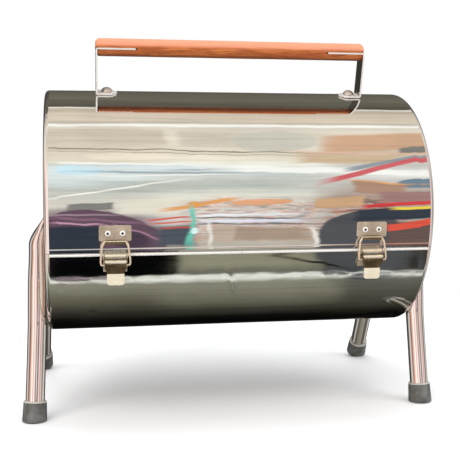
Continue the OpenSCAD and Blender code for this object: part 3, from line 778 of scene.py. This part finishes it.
def leg_tube(name, shank):
    """Flat rounded tab, a flare that swings outwards and swells to a tube, a soft knee, the shank."""
    tab_steps, flare_steps, boxy = 14, 40, 14
    rings = []
    for k in range(1, tab_steps + 1):
        t = math.pi / 2 * k / tab_steps
        centre = Vector((0, 0, TAB_ROUND * math.cos(t)))
        rings.append(leg_ring(centre, TAB_HALF, TAB_ROUND * math.sin(t), boxy))
    for k in range(1, flare_steps + 1):
        drop = FLARE * k / flare_steps
        swell = smooth((drop - 0.010) / 0.045)
        out = FLARE_OUT * smooth((drop - 0.006) / 0.049)
        to_round = smooth((drop - 0.060) / 0.045)
        half_x = TAB_HALF + (OVAL_HALF - TAB_HALF) * swell + (TUBE - OVAL_HALF) * to_round
        half_y = TAB_ROUND + (0.0116 - TAB_ROUND) * smooth((drop - 0.013) / 0.044) - 0.0006 * to_round
        square = boxy - (boxy - 2) * smooth((drop - 0.004) / 0.036)
        rings.append(leg_ring(Vector((out + 0.0009 * to_round, 0, -drop)), half_x, half_y, square))
    path = rounded([(0.015, 0, -FLARE - 0.001), tuple(knee_at), tuple(knee_at + shank_way * (shank - SOLE))],
                   0.16, 14)
    for i in range(1, len(path)):
        tangent = (path[min(i + 1, len(path) - 1)] - path[i - 1]).normalized()
        rings.append(leg_ring(path[i], TUBE, TUBE, tangent=tangent))
    return edited(mesh_from(name, *skin_rings(rings)))


def rubber_tip(name, place):
    """A tapered cup, cut flat where it stands on the floor; place is at the sole, Z up the tube."""
    bore = TUBE + 0.00006
    profile = [(0, 0), (FOOT_BOTTOM - 0.0012, 0), (FOOT_BOTTOM - 0.0003, 0.0005), (FOOT_BOTTOM, 0.0016),
               (FOOT_BOTTOM - 0.0002, 0.005), (FOOT_TOP + 0.0002, FOOT_HEIGHT - 0.004),
               (FOOT_TOP, FOOT_HEIGHT - 0.0014), (FOOT_TOP - 0.0002, FOOT_HEIGHT - 0.0004),
               (FOOT_TOP - 0.0008, FOOT_HEIGHT), (TUBE + 0.0003, FOOT_HEIGHT),
               (bore, FOOT_HEIGHT - 0.0004), (bore, SOLE + 0.0002), (0, SOLE)]
    mesh = lathe(name, profile, 64)
    mesh.transform(place)

    def flatten(bm):
        everything = bm.verts[:] + bm.edges[:] + bm.faces[:]
        cut = bmesh.ops.bisect_plane(bm, geom=everything, plane_co=(0, 0, 0.00001), plane_no=(0, 0, -1),
                                     clear_outer=True)
        rim = [e for e in cut["geom_cut"] if isinstance(e, bmesh.types.BMEdge)]
        bmesh.ops.contextual_create(bm, geom=rim)
    return edited(mesh, flatten)


def leg(side, which):
    """A tube and its rubber tip."""
    place, height = leg_place(side, which)
    body = f"{side}_{which}_leg"
    shank = shank_length(height, which)
    tube = leg_tube(f"tube_{which}_{side}", shank)
    paint(finish_mesh(f"{which}_leg_tube_{side}", tube, body, [f"{which}_leg_{side}"], place, 32), CHROME)

    up_tube = Vector((0, 0, 1)).rotation_difference(-shank_way).to_matrix().to_4x4()
    at_sole = place @ Matrix.Translation(knee_at + shank_way * shank) @ up_tube
    tip = rubber_tip(f"cap_{which}_{side}", at_sole)
    cap = finish_mesh(f"{which}_rubber_tip_{side}", tip, body, [f"{which}_foot_{side}"], None, 30)
    paint(cap, RUBBER)
    # painted highlight: the top rim of each rubber tip is painted pale
    paint_where(cap, PAINTED_RIM_HIGHLIGHT, at_sole, lambda at, out: at.z > FOOT_HEIGHT - 0.0015)


for side_word in ("left", "right"):
    for leg_word in ("front", "rear"):
        leg(side_word, leg_word)


# ---- latches, drawn as (x, out, up) from the front seam line; sections are (out, up) ----

KEEPER_HALF = 0.0174
KEEPER_LOW = 0.014  # the keeper plate starts this far above the seam
KEEPER_TALL = 0.017
HOOK_HALF = 0.0105
HOOK_RADIUS = 0.00245
LEVER_PIN = (0.0055, -0.0015)
LEVER_HALF = 0.0117
TAB_WIDE = 0.0093  # half width of the finger tab
SLEEVE_RADIUS = 0.0033
BAIL_PIN = (0.011, -0.0095)
BAIL_BAR = (0.0024, 0.0142)
BAIL_WIRE = 0.00115


def latch_matrix(sign):
    """From the latch's (x, out, up) to the world."""
    flip = Matrix(((1, 0, 0, sign * LATCH_X), (0, -1, 0, -RADIUS), (0, 0, 1, 0), (0, 0, 0, 1)))
    return BARREL @ flip


def sheet_rows(section, half_width):
    """Rows for strip() along a section; half_width is a function of the distance run."""
    dense = resampled(section, 0.0006)
    rows, run = [], 0.0
    for i, p in enumerate(dense):
        if i:
            run += (p - dense[i - 1]).length
        tangent = (dense[min(i + 1, len(dense) - 1)] - dense[max(i - 1, 0)]).normalized()
        rows.append((p, half_width(run), X, X.cross(tangent).normalized()))
    return rows


def path_length(path):
    return sum((b - a).length for a, b in zip(path, path[1:]))


def corner_half(run, total, half, radius):
    """Half width of a plate with rounded corners at both ends of its run."""
    edge = min(run, total - run)
    if edge >= radius:
        return half
    return half - radius + math.sqrt(max(radius ** 2 - (radius - edge) ** 2, 0))


def keeper(word, place):
    """A plate curved to the lid, and a hook rolled up round the bail's bar."""
    def on_lid(up, lift):
        return Vector((0, math.sqrt((RADIUS + lift) ** 2 - up ** 2) - RADIUS, up))

    plate_steps, hook_steps = 20, 14
    path = [on_lid(KEEPER_LOW + KEEPER_TALL * k / plate_steps, 0.0006) for k in range(plate_steps + 1)]
    total = path_length(path)
    rows = sheet_rows(path, lambda run: corner_half(run, total, KEEPER_HALF, 0.0018))
    plate = strip("plate", rows, 0.001, 13)
    bar = Vector((0, *BAIL_BAR))
    path = [on_lid(0.0165, 0.0007)]
    for k in range(hook_steps + 1):
        t = math.radians(182 + 172 * k / hook_steps)
        path.append(bar + Vector((0, math.cos(t), math.sin(t))) * HOOK_RADIUS)
    hook = strip("hook", sheet_rows(path, lambda run: HOOK_HALF), 0.0009, 9)
    mesh = join("keeper", [plate, hook])
    obj = finish_mesh(f"latch_keeper_{word}", mesh, "lid", [f"keeper_{word}"], place, 35)
    paint(obj, PLATE)
    # painted shade: the hook under the keeper plate takes the darker nickel
    paint_where(obj, PAINTED_SHADE_NICKEL, place, lambda at, out: abs(at.x) < HOOK_HALF + 0.0001 and at.z < 0.0166
                and at.y > 0.0003)
    soften(obj, 0.0002)


def lever_sleeve():
    """The tube on the lever's pin."""
    sides, bar_steps = 40, 12
    bore, chamfer = 0.0016, 0.0003
    end = [(bore, -LEVER_HALF), (SLEEVE_RADIUS - chamfer, -LEVER_HALF), (SLEEVE_RADIUS, chamfer - LEVER_HALF)]
    straight = LEVER_HALF - 0.0006
    bar = [(SLEEVE_RADIUS, straight * (2 * k / bar_steps - 1)) for k in range(1, bar_steps)]
    profile = end + bar + [(r, -x) for r, x in reversed(end)]
    rings = [[Vector((x, LEVER_PIN[0] + r * math.cos(t), LEVER_PIN[1] + r * math.sin(t)))
              for t in (2 * math.pi * k / sides for k in range(sides))] for r, x in profile]
    rings.append(rings[0])
    mesh = mesh_from("sleeve", *skin_rings(rings, caps=False))
    return edited(mesh, lambda bm: bmesh.ops.remove_doubles(bm, verts=bm.verts, dist=1e-7))


def lever(word, place):
    """Sleeve and cheeks, then the face that narrows to the finger tab."""
    body = f"{word}_latch_lever"
    sheet = 0.001
    out, up = LEVER_PIN
    outline = [(out + 0.0012, up + 0.00307), (out - 0.0019, up - 0.0026),
               (BAIL_PIN[0] - 0.0026, BAIL_PIN[1] - 0.0022), (0.0123, -0.0132), (0.0133, -0.0132),
               (0.0139, -0.0056), (0.0127, -0.0050)]
    cheeks = [prism("cheek", outline, *sorted((s * LEVER_HALF, s * (LEVER_HALF - sheet)))) for s in (-1, 1)]
    frame_mesh = join("lever", [lever_sleeve()] + cheeks)
    obj = finish_mesh(f"latch_lever_cheeks_{word}", frame_mesh, body, [], place, 35)
    # painted shade: the cheeks take the darker nickel
    paint(obj, PAINTED_SHADE_NICKEL)

    # painted highlight: the sleeve is painted the pale nickel
    def on_sleeve(at, normal):
        return math.hypot(at.y - out, at.z - up) < SLEEVE_RADIUS + 0.0001 and abs(at.x) < LEVER_HALF - sheet
    paint_where(obj, PAINTED_HIGHLIGHT_SLEEVE, place, on_sleeve)
    soften(obj, 0.00018)

    # a rolled lip above the face, painted as a highlight, then the face, painted shade, runs down to the tab,
    # painted as a highlight
    path = rounded([(0, 0.0105, -0.0042), (0, 0.0132, -0.0052), (0, 0.0124, -0.0182), (0, 0.0136, -0.0260),
                    (0, 0.0144, -0.0315)], 0.0016, 5)
    total = path_length(path)

    def half_width(run):
        if run > total - 0.003:
            return corner_half(run, total, TAB_WIDE, 0.003)
        return LEVER_HALF - (LEVER_HALF - TAB_WIDE) * smooth((run - 0.009) / 0.0065)

    face = strip("face", sheet_rows(path, half_width), sheet, 13)
    obj = finish_mesh(f"latch_lever_face_{word}", face, body, [f"latch_lever_{word}"], place, 35)
    # painted shade: the face takes the darker nickel
    paint(obj, PAINTED_SHADE_NICKEL)
    # painted highlight: the tab below and the rolled lip above are painted the pale nickel
    paint_where(obj, PAINTED_HIGHLIGHT_TAB, place, lambda at, out: at.z < -0.0192)
    paint_where(obj, PAINTED_HIGHLIGHT_SLEEVE, place, lambda at, out: at.z > -0.0072)
    soften(obj, 0.00018)


def bail(word, place):
    """One bent wire, its ends turned in to the lever."""
    pin, bar = Vector((0, *BAIL_PIN)), Vector((0, *BAIL_BAR))
    half = [(0.0098, 0), (0.0153, -0.01), (0.0158, 0.16), (0.0142, 0.80), (0.0113, 1)]
    corners = [X * -x + pin.lerp(bar, share) for x, share in half]
    corners += [X * x + pin.lerp(bar, share) for x, share in reversed(half)]
    mesh = wire("bail", rounded(corners, 0.0024, 6), BAIL_WIRE)
    body = f"{word}_latch_bail"
    paint(finish_mesh(f"latch_bail_wire_{word}", mesh, body, [f"latch_bail_{word}"], place, 60), WIRE)


for sign, side_word in ((-1, "left"), (1, "right")):
    latch_at = latch_matrix(sign)
    keeper(side_word, latch_at)
    lever(side_word, latch_at)
    bail(side_word, latch_at)


# ---- CAD nodes that keep their shape ----

KEPT = {
    MIRROR: ("lid_end_left", "lid_end_right"),
    SATIN: ("base_end_left", "base_end_right"),
    GRATE: ("base_cooking_grate", "base_charcoal_grate", "lid_cooking_grate", "lid_charcoal_grate",
            "base_grate_clips", "lid_grate_clips"),
    HINGE: ("hinge_lower_leaf_left", "hinge_lower_leaf_right", "hinge_upper_leaf_left",
            "hinge_upper_leaf_right", "hinge_pins"),
    RIVET: ("hinge_lower_rivets", "hinge_upper_rivets", "latch_bracket_rivets", "handle_nails"),
    PLATE: ("latch_bracket_left", "latch_bracket_right", "latch_pins"),
    ZINC: ("base_leg_bolts", "base_leg_wing_nuts", "base_leg_washers", "lid_leg_bolts",
           "lid_leg_wing_nuts", "lid_leg_washers"),
}
for look, names in KEPT.items():
    for kept_name in names:
        paint(frame["nodes"][kept_name], look)


# ---- the studio ----

def stage():
    """A pale floor that fades to the white of the background."""
    half = 30
    corners = [(x, y, 0) for x, y in ((-half, -half), (half, -half), (half, half), (-half, half))]
    floor = bpy.data.objects.new("floor", mesh_from("floor", corners, [(0, 1, 2, 3)]))
    bpy.context.scene.collection.objects.link(floor)
    mat, tree, bsdf = material("pale_floor")
    bsdf.inputs["Base Color"].default_value = (0.92, 0.92, 0.92, 1)
    bsdf.inputs["Roughness"].default_value = 0.9
    bsdf.inputs["Specular IOR Level"].default_value = 0.0
    away = add(tree, "ShaderNodeVectorMath", {0: stretched(tree, (0.75, 1, 1))}, operation="LENGTH")
    fade = between(tree, away.outputs["Value"], 0.28, 0.75, smooth=True)
    glow = add(tree, "ShaderNodeEmission", {"Color": (1, 1, 1, 1), "Strength": 1.0})
    blend = add(tree, "ShaderNodeMixShader", {0: fade, 1: bsdf.outputs[0], 2: glow.outputs[0]})
    tree.links.new(blend.outputs[0], tree.nodes["Material Output"].inputs["Surface"])
    floor.data.materials.append(mat)
    floor.visible_glossy = False


def area_light(name, at, aim, size, power, colour=(1, 1, 1)):
    """A rectangular light that reflections don't show."""
    data = bpy.data.lights.new(name, "AREA")
    data.shape = "RECTANGLE"
    data.size, data.size_y = size
    data.energy = power
    data.color = colour
    light = bpy.data.objects.new(name, data)
    light.location = at
    light.rotation_euler = (Vector(aim) - Vector(at)).to_track_quat("-Z", "Y").to_euler()
    light.visible_glossy = False
    bpy.context.scene.collection.objects.link(light)


ROOM_STRENGTH = 1.24

# things standing in the room, as (colour, sideways, degrees up, half width, half height,
# rise in degrees per unit sideways, softness, oval); later ones stand in front
ROOM = (
    ((208, 196, 178), 0.065, 75, 0.040, 9, -20, 0.3, False),
    ((210, 202, 186), 0.148, 74, 0.034, 9, -20, 0.3, False),
    ((232, 224, 206), 0.106, 74, 0.007, 10, 0, 0.8, False),
    ((206, 202, 188), 0.226, 71, 0.047, 12, 0, 0.10, True),
    ((238, 228, 208), 0.060, 54, 0.050, 4, -10, 0.5, True),
    ((236, 230, 210), 0.160, 53, 0.045, 4, -10, 0.5, True),
    ((144, 134, 118), 0.100, 60.6, 0.170, 0.55, -18, 0.5, False),
    ((176, 166, 148), 0.105, 57.6, 0.165, 0.35, -18, 0.5, False),
    ((204, 232, 242), -0.005, 40, 0.034, 5, 0, 0.5, True),
    ((250, 250, 246), 0.060, 46.5, 0.080, 0.9, -12, 0.6, False),
    ((216, 228, 230), 0.090, 43, 0.070, 2.0, -6, 0.7, False),
    ((160, 174, 180), 0.105, 38, 0.085, 0.8, -8, 0.6, False),
    ((150, 162, 168), 0.165, 41.5, 0.055, 0.7, 12, 0.6, False),
    ((246, 246, 240), 0.100, 35.5, 0.090, 0.6, 8, 0.6, False),
    ((186, 192, 184), 0.140, 26, 0.110, 5, 10, 0.5, False),
    ((250, 248, 238), 0.033, 22, 0.070, 0.7, 110, 0.5, False),
    ((226, 222, 206), 0.075, 5, 0.035, 7, 0, 0.4, False),
    ((132, 130, 126), 0.013, 6, 0.026, 3.2, 40, 0.08, False),
    ((102, 80, 94), 0.005, -32, 0.095, 35, 0, 0.03, True),
    ((74, 62, 74), 0.050, -22, 0.030, 9, -200, 0.6, True),
    ((160, 136, 148), 0.000, -1.2, 0.046, 0.7, -8, 0.5, False),
    ((138, 104, 124), 0.020, -6, 0.050, 1.0, -60, 0.5, False),
    ((200, 152, 176), 0.000, -9, 0.030, 0.8, -60, 0.5, False),
    ((170, 128, 150), 0.068, -18, 0.022, 1.0, -330, 0.5, False),
    ((52, 58, 68), -0.008, -27, 0.036, 16, 0, 0.12, False),
    ((80, 86, 94), 0.110, -22, 0.022, 9, 0, 0.3, False),
    ((212, 90, 80), 0.104, -5.5, 0.022, 0.8, 60, 0.4, False),
    ((206, 110, 96), 0.106, -9.5, 0.022, 0.7, 20, 0.4, False),
    ((190, 90, 80), 0.112, -15, 0.018, 0.8, -20, 0.4, False),
    ((242, 244, 246), 0.195, -3, 0.060, 1.0, 10, 0.4, False),
    ((104, 112, 120), 0.190, -6, 0.058, 0.6, -10, 0.4, False),
    ((224, 228, 242), 0.200, -9, 0.058, 1.2, 12, 0.4, False),
    ((112, 116, 120), 0.200, -12, 0.060, 0.6, 8, 0.4, False),
    ((168, 148, 130), 0.215, -21, 0.046, 6, 0, 0.3, False),
    ((190, 172, 156), 0.165, -21, 0.014, 7, 0, 0.1, False),
    ((234, 230, 220), 0.149, -21, 0.0018, 10, 0, 0.4, False),
    ((224, 160, 100), 0.141, 7, 0.045, 1.7, 108, 0.3, False),
    ((226, 168, 128), 0.213, 8.5, 0.034, 2.8, 20, 0.15, True),
    ((238, 150, 48), 0.130, 7.5, 0.007, 2.6, 0, 0.3, True),
    ((110, 200, 180), 0.128, -12, 0.0035, 18, 0, 0.5, False),
    ((222, 250, 250), 0.132, -18, 0.005, 3, 0, 0.4, True),
    ((208, 170, 140), 0.334, 70, 0.054, 9.5, 40, 0.22, False),
    ((132, 130, 124), 0.378, 62, 0.022, 3.4, 120, 0.15, False),
    ((228, 188, 164), 0.325, 57.6, 0.075, 0.8, -20, 0.4, False),
    ((206, 182, 152), 0.305, 51.5, 0.052, 5, -20, 0.30, False),
    ((252, 252, 246), 0.290, 39, 0.120, 3, -40, 0.5, False),
    ((150, 158, 164), 0.352, 49, 0.046, 2.0, 200, 0.3, False),
    ((212, 106, 110), 0.340, 42, 0.056, 2.6, 245, 0.2, False),
    ((116, 138, 152), 0.378, 26, 0.022, 4.5, 0, 0.2, True),
    ((176, 142, 122), 0.335, 21, 0.030, 5.5, -60, 0.1, False),
    ((234, 172, 112), 0.335, 27, 0.032, 0.6, -60, 0.4, False),
    ((208, 170, 132), 0.300, 9, 0.020, 4.5, 60, 0.1, False),
    ((164, 128, 124), 0.372, 13, 0.034, 5, 0, 0.15, False),
    ((84, 86, 90), 0.320, -36, 0.052, 37, 0, 0.03, True),
    ((58, 64, 74), 0.358, -3, 0.050, 5.5, 20, 0.12, False),
    ((104, 86, 80), 0.378, -25, 0.034, 14, 0, 0.12, False),
    ((214, 72, 74), 0.360, 6.5, 0.042, 1.8, 50, 0.2, False),
    ((240, 214, 78), 0.376, 2.2, 0.026, 1.2, 20, 0.3, False),
    ((224, 90, 72), 0.372, -14, 0.030, 3.2, 110, 0.1, False),
    ((238, 232, 222), 0.268, -24, 0.0028, 9, 0, 0.4, False),
    ((5, 6, 7), 0.032, -52, 0.080, 9.5, 0, 0.03, False),
    ((28, 28, 26), 0.257, -49, 0.045, 1.2, -190, 0.4, False),
)


# what reflections see round the barrel, as (degrees up from the front horizon, colour): below 0 lies under
# the floor's horizon, past 90 behind. Left, middle and right of the room, then TOP past straight up.
LEFT = (
    (-180, (40, 38, 36)), (-158, (24, 23, 22)), (-145, (6, 6, 6)), (-128, (18, 18, 16)),
    (-112, (50, 48, 42)), (-100, (82, 79, 69)), (-88, (108, 105, 91)), (-76, (138, 136, 123)),
    (-70, (150, 149, 136)), (-66, (206, 208, 198)), (-63, (196, 198, 188)), (-61.5, (96, 94, 84)),
    (-40, (112, 110, 98)), (-30, (74, 78, 82)), (-17, (96, 98, 98)), (-9, (124, 104, 116)),
    (2, (160, 150, 146)), (7, (214, 208, 196)), (20, (198, 200, 190)), (27, (212, 220, 218)),
    (36, (222, 234, 232)), (44, (214, 222, 218)), (48, (228, 220, 200)), (62, (218, 206, 188)),
    (80, (208, 196, 178)), (86, (220, 210, 194)))
TOP = (
    (86.5, (196, 188, 172)), (88, (252, 250, 240)), (91, (250, 246, 236)), (92, (160, 150, 132)),
    (93.5, (216, 204, 186)), (104, (214, 200, 180)), (112, (186, 174, 156)), (113.5, (174, 162, 146)),
    (114.3, (240, 236, 226)), (115.6, (226, 220, 208)), (116.4, (84, 80, 70)), (135, (106, 102, 90)),
    (160, (92, 88, 78)), (171, (78, 75, 68)), (180, (56, 54, 50)))
CENTRE = (
    (-180, (40, 38, 36)), (-158, (24, 23, 22)), (-146, (4, 4, 4)), (-128, (16, 16, 14)),
    (-112, (62, 61, 54)), (-98, (108, 106, 93)), (-84, (134, 131, 118)), (-71, (146, 145, 131)),
    (-66, (232, 234, 228)), (-63, (226, 228, 220)), (-61.5, (104, 104, 94)), (-52, (152, 150, 132)),
    (-40, (150, 148, 128)), (-33, (182, 176, 166)), (-26, (190, 180, 162)), (-14, (206, 202, 196)),
    (0, (222, 222, 216)), (14, (224, 224, 210)), (22, (204, 206, 198)), (32, (212, 214, 206)),
    (38, (198, 206, 204)), (46, (240, 240, 228)), (52, (232, 224, 204)), (62, (226, 218, 200)),
    (80, (214, 206, 190)), (86, (226, 218, 202)))
RIGHT = (
    (-180, (40, 38, 36)), (-158, (24, 23, 22)), (-140, (8, 8, 8)), (-124, (34, 33, 28)),
    (-112, (62, 60, 53)), (-98, (78, 76, 68)), (-80, (96, 94, 88)), (-71, (108, 105, 100)),
    (-66, (176, 176, 172)), (-62.5, (60, 58, 52)), (-50, (44, 40, 34)), (-40, (70, 66, 58)),
    (-33, (104, 90, 80)), (-20, (120, 104, 94)), (-6, (132, 112, 104)), (3, (176, 150, 140)),
    (12, (170, 146, 134)), (25, (196, 190, 182)), (32, (226, 226, 222)), (44, (204, 202, 196)),
    (52, (214, 200, 182)), (66, (216, 196, 170)), (78, (226, 214, 196)), (86, (226, 218, 202)))

# upright strips beyond the barrel's ends, as (place from left to right, colour)
STRIPS = (
    (0.0, (70, 60, 58)), (0.03, (206, 160, 140)), (0.07, (236, 190, 168)), (0.11, (252, 240, 230)),
    (0.20, (254, 250, 246)), (0.24, (196, 128, 124)), (0.27, (240, 214, 204)), (0.36, (252, 246, 242)),
    (0.42, (232, 190, 172)), (0.47, (214, 170, 156)), (0.72, (236, 216, 206)), (0.76, (140, 104, 116)),
    (0.80, (250, 244, 240)), (0.86, (226, 176, 160)), (0.89, (140, 112, 116)), (0.93, (232, 214, 206)),
    (0.985, (150, 140, 130)), (1.0, (40, 40, 38)))


def room_world():
    """White for the camera, soft light for diffuse surfaces, and a cluttered room for reflections."""
    world = bpy.data.worlds.new("room")
    bpy.context.scene.world = world
    world.use_nodes = True
    tree = world.node_tree
    tree.nodes.clear()
    direction = add(tree, "ShaderNodeTexCoord").outputs["Generated"]
    split = add(tree, "ShaderNodeSeparateXYZ", {0: direction})
    across = split.outputs[0]
    back = math_node(tree, "MULTIPLY", split.outputs[1], -1.0)
    theta = math_node(tree, "ARCTAN2", split.outputs[2], back)
    # 0 is the horizon behind, 0.25 straight down, 0.5 the horizon in front, 0.75 straight up, 1 behind again
    turn = math_node(tree, "MULTIPLY_ADD", theta, 1 / (2 * math.pi), 0.5)
    plane = add(tree, "ShaderNodeCombineXYZ", {0: across, 1: turn, 2: 0.0}).outputs[0]

    def on_plane(scale, location=(0, 0, 0)):
        inputs = {"Vector": plane, "Scale": scale, "Location": location}
        return add(tree, "ShaderNodeMapping", inputs).outputs[0]

    def shaken(value, noise_value, amount):
        return math_node(tree, "MULTIPLY_ADD", math_node(tree, "SUBTRACT", noise_value, 0.5), amount, value)

    warp = noise_at(tree, on_plane((9, 14, 1)), 1.0, 3, 0.5)
    ripple = noise_at(tree, on_plane((34, 20, 1), (5, 3, 0)), 1.0, 2, 0.5)
    bend = shaken(shaken(turn, warp, 0.012), ripple, 0.008)
    level = math_node(tree, "MULTIPLY_ADD", bend, 360.0, -180.0)

    left, centre, right, top = (ramp(tree, bend, [((degrees + 180) / 360, tone) for degrees, tone in bands])
                                for bands in (LEFT, CENTRE, RIGHT, TOP))
    u = shaken(across, warp, 0.06)
    colour = mix(tree, between(tree, u, 0.055, 0.115, smooth=True), left, centre)
    colour = mix(tree, between(tree, u, 0.265, 0.305, smooth=True), colour, right)
    colour = mix(tree, between(tree, level, 86.4, 87), colour, top)

    # faint clutter near the horizon, then long thin streaks everywhere
    clutter = noise_at(tree, on_plane((22, 90, 1), (3, 1, 0)), 1.0, 3, 0.55, 1.4)
    things = ramp(tree, clutter, [
        (0.30, (34, 38, 48)), (0.40, (96, 80, 78)), (0.44, (196, 90, 74)), (0.48, (222, 150, 96)),
        (0.52, (232, 228, 220)), (0.56, (170, 190, 184)), (0.60, (214, 150, 130)), (0.66, (120, 110, 118))])
    band = math_node(tree, "MULTIPLY", between(tree, level, -30, -22), between(tree, level, 16, 8))
    amount = math_node(tree, "MULTIPLY", band, between(tree, u, 0.09, 0.13, 0.0, 0.5, smooth=True))
    colour = mix(tree, amount, colour, things)

    drift = shaken(across, ripple, 0.016)
    for tone, sideways, height, wide, tall, rise, soft, oval in ROOM:
        a = math_node(tree, "MULTIPLY_ADD", drift, 1 / wide, -sideways / wide)
        b = math_node(tree, "MULTIPLY_ADD", level, 1 / tall, (rise * sideways - height) / tall)
        b = math_node(tree, "MULTIPLY_ADD", drift, -rise / tall, b)
        if oval:
            reach = math_node(tree, "MULTIPLY_ADD", a, a, math_node(tree, "MULTIPLY", b, b))
        else:
            reach = math_node(tree, "MAXIMUM", math_node(tree, "ABSOLUTE", a), math_node(tree, "ABSOLUTE", b))
        inside = between(tree, reach, 1 + soft, 1 - soft, smooth=True)
        colour = mix(tree, inside, colour, linear(tone))

    streak = noise_at(tree, on_plane((5, 90, 1)), 1.0, 4, 0.6, 0.8)
    streaks = ramp(tree, streak, [
        (0.32, (160, 160, 160)), (0.44, (224, 224, 224)), (0.56, (255, 255, 255)), (1.0, (255, 255, 255))])
    colour = mix(tree, 0.28, colour, mix(tree, 1.0, colour, streaks, "MULTIPLY"))
    crinkle = noise_at(tree, on_plane((60, 110, 1), (8, 2, 0)), 1.0, 4, 0.7, 0.6)
    low_edge = math_node(tree, "MULTIPLY", between(tree, level, -71, -66), between(tree, level, -61, -63))
    glint = math_node(tree, "MULTIPLY", low_edge, between(tree, crinkle, 0.46, 0.56))
    colour = mix(tree, glint, colour, linear((250, 250, 246)))

    # beyond the barrel's reach: upright strips in front and darkness behind, seen in the leg tubes
    upright = ramp(tree, math_node(tree, "MULTIPLY_ADD", across, 0.5, 0.5), STRIPS)
    # behind the barrel the strips lose their pink and then darken
    paler = between(tree, split.outputs[1], -0.05, 0.15, 0.0, 0.85)
    upright = mix(tree, paler, upright, linear((206, 204, 200)))
    upright = mix(tree, between(tree, split.outputs[1], 0.40, 0.62), upright, linear((70, 68, 64)))
    off_left = between(tree, across, -0.06, -0.09, smooth=True)
    off_right = between(tree, across, 0.42, 0.47, smooth=True)
    low = between(tree, math_node(tree, "ABSOLUTE", split.outputs[2]), 0.8, 0.5, smooth=True)
    sideways = math_node(tree, "MULTIPLY", math_node(tree, "ADD", off_left, off_right), low)
    colour = mix(tree, sideways, colour, upright)

    path = add(tree, "ShaderNodeLightPath")
    reflect = add(tree, "ShaderNodeBackground", {"Color": colour, "Strength": ROOM_STRENGTH})
    # the soft light comes mostly from above
    sky = between(tree, split.outputs[2], -0.15, 0.55, 0.10, 1.0)
    soft_light = add(tree, "ShaderNodeBackground", {"Color": (0.97, 0.98, 1.0, 1), "Strength": sky})
    white = add(tree, "ShaderNodeBackground", {"Color": (1, 1, 1, 1), "Strength": 1.0})
    first = add(tree, "ShaderNodeMixShader", {0: path.outputs["Is Glossy Ray"], 1: soft_light.outputs[0],
                                              2: reflect.outputs[0]})
    second = add(tree, "ShaderNodeMixShader", {0: path.outputs["Is Camera Ray"], 1: first.outputs[0],
                                               2: white.outputs[0]})
    out = add(tree, "ShaderNodeOutputWorld")
    tree.links.new(second.outputs[0], out.inputs[0])


stage()
room_world()
area_light("key", (-1.6, -1.8, 2.4), (0, 0, 0.2), (1.8, 1.8), 42, (1.0, 0.98, 0.95))
area_light("fill", (1.9, -1.2, 1.6), (0, 0, 0.2), (1.6, 1.6), 18, (0.96, 0.98, 1.0))
area_light("top", (0, 0.4, 3.0), (0, 0, 0), (2.4, 2.4), 30)

camera_data = bpy.data.cameras.new("camera")
camera_data.lens = 67.8
camera_data.sensor_width = 36
camera_data.clip_start = 0.02
camera = bpy.data.objects.new("camera", camera_data)
camera.location = axis_at + Vector((-0.1837, -1.0808, 0.0696))
camera.rotation_euler = (math.radians(84.93), 0, math.radians(-9.98))
bpy.context.scene.collection.objects.link(camera)
bpy.context.scene.camera = camera
bpy.context.scene.view_settings.view_transform = "Standard"
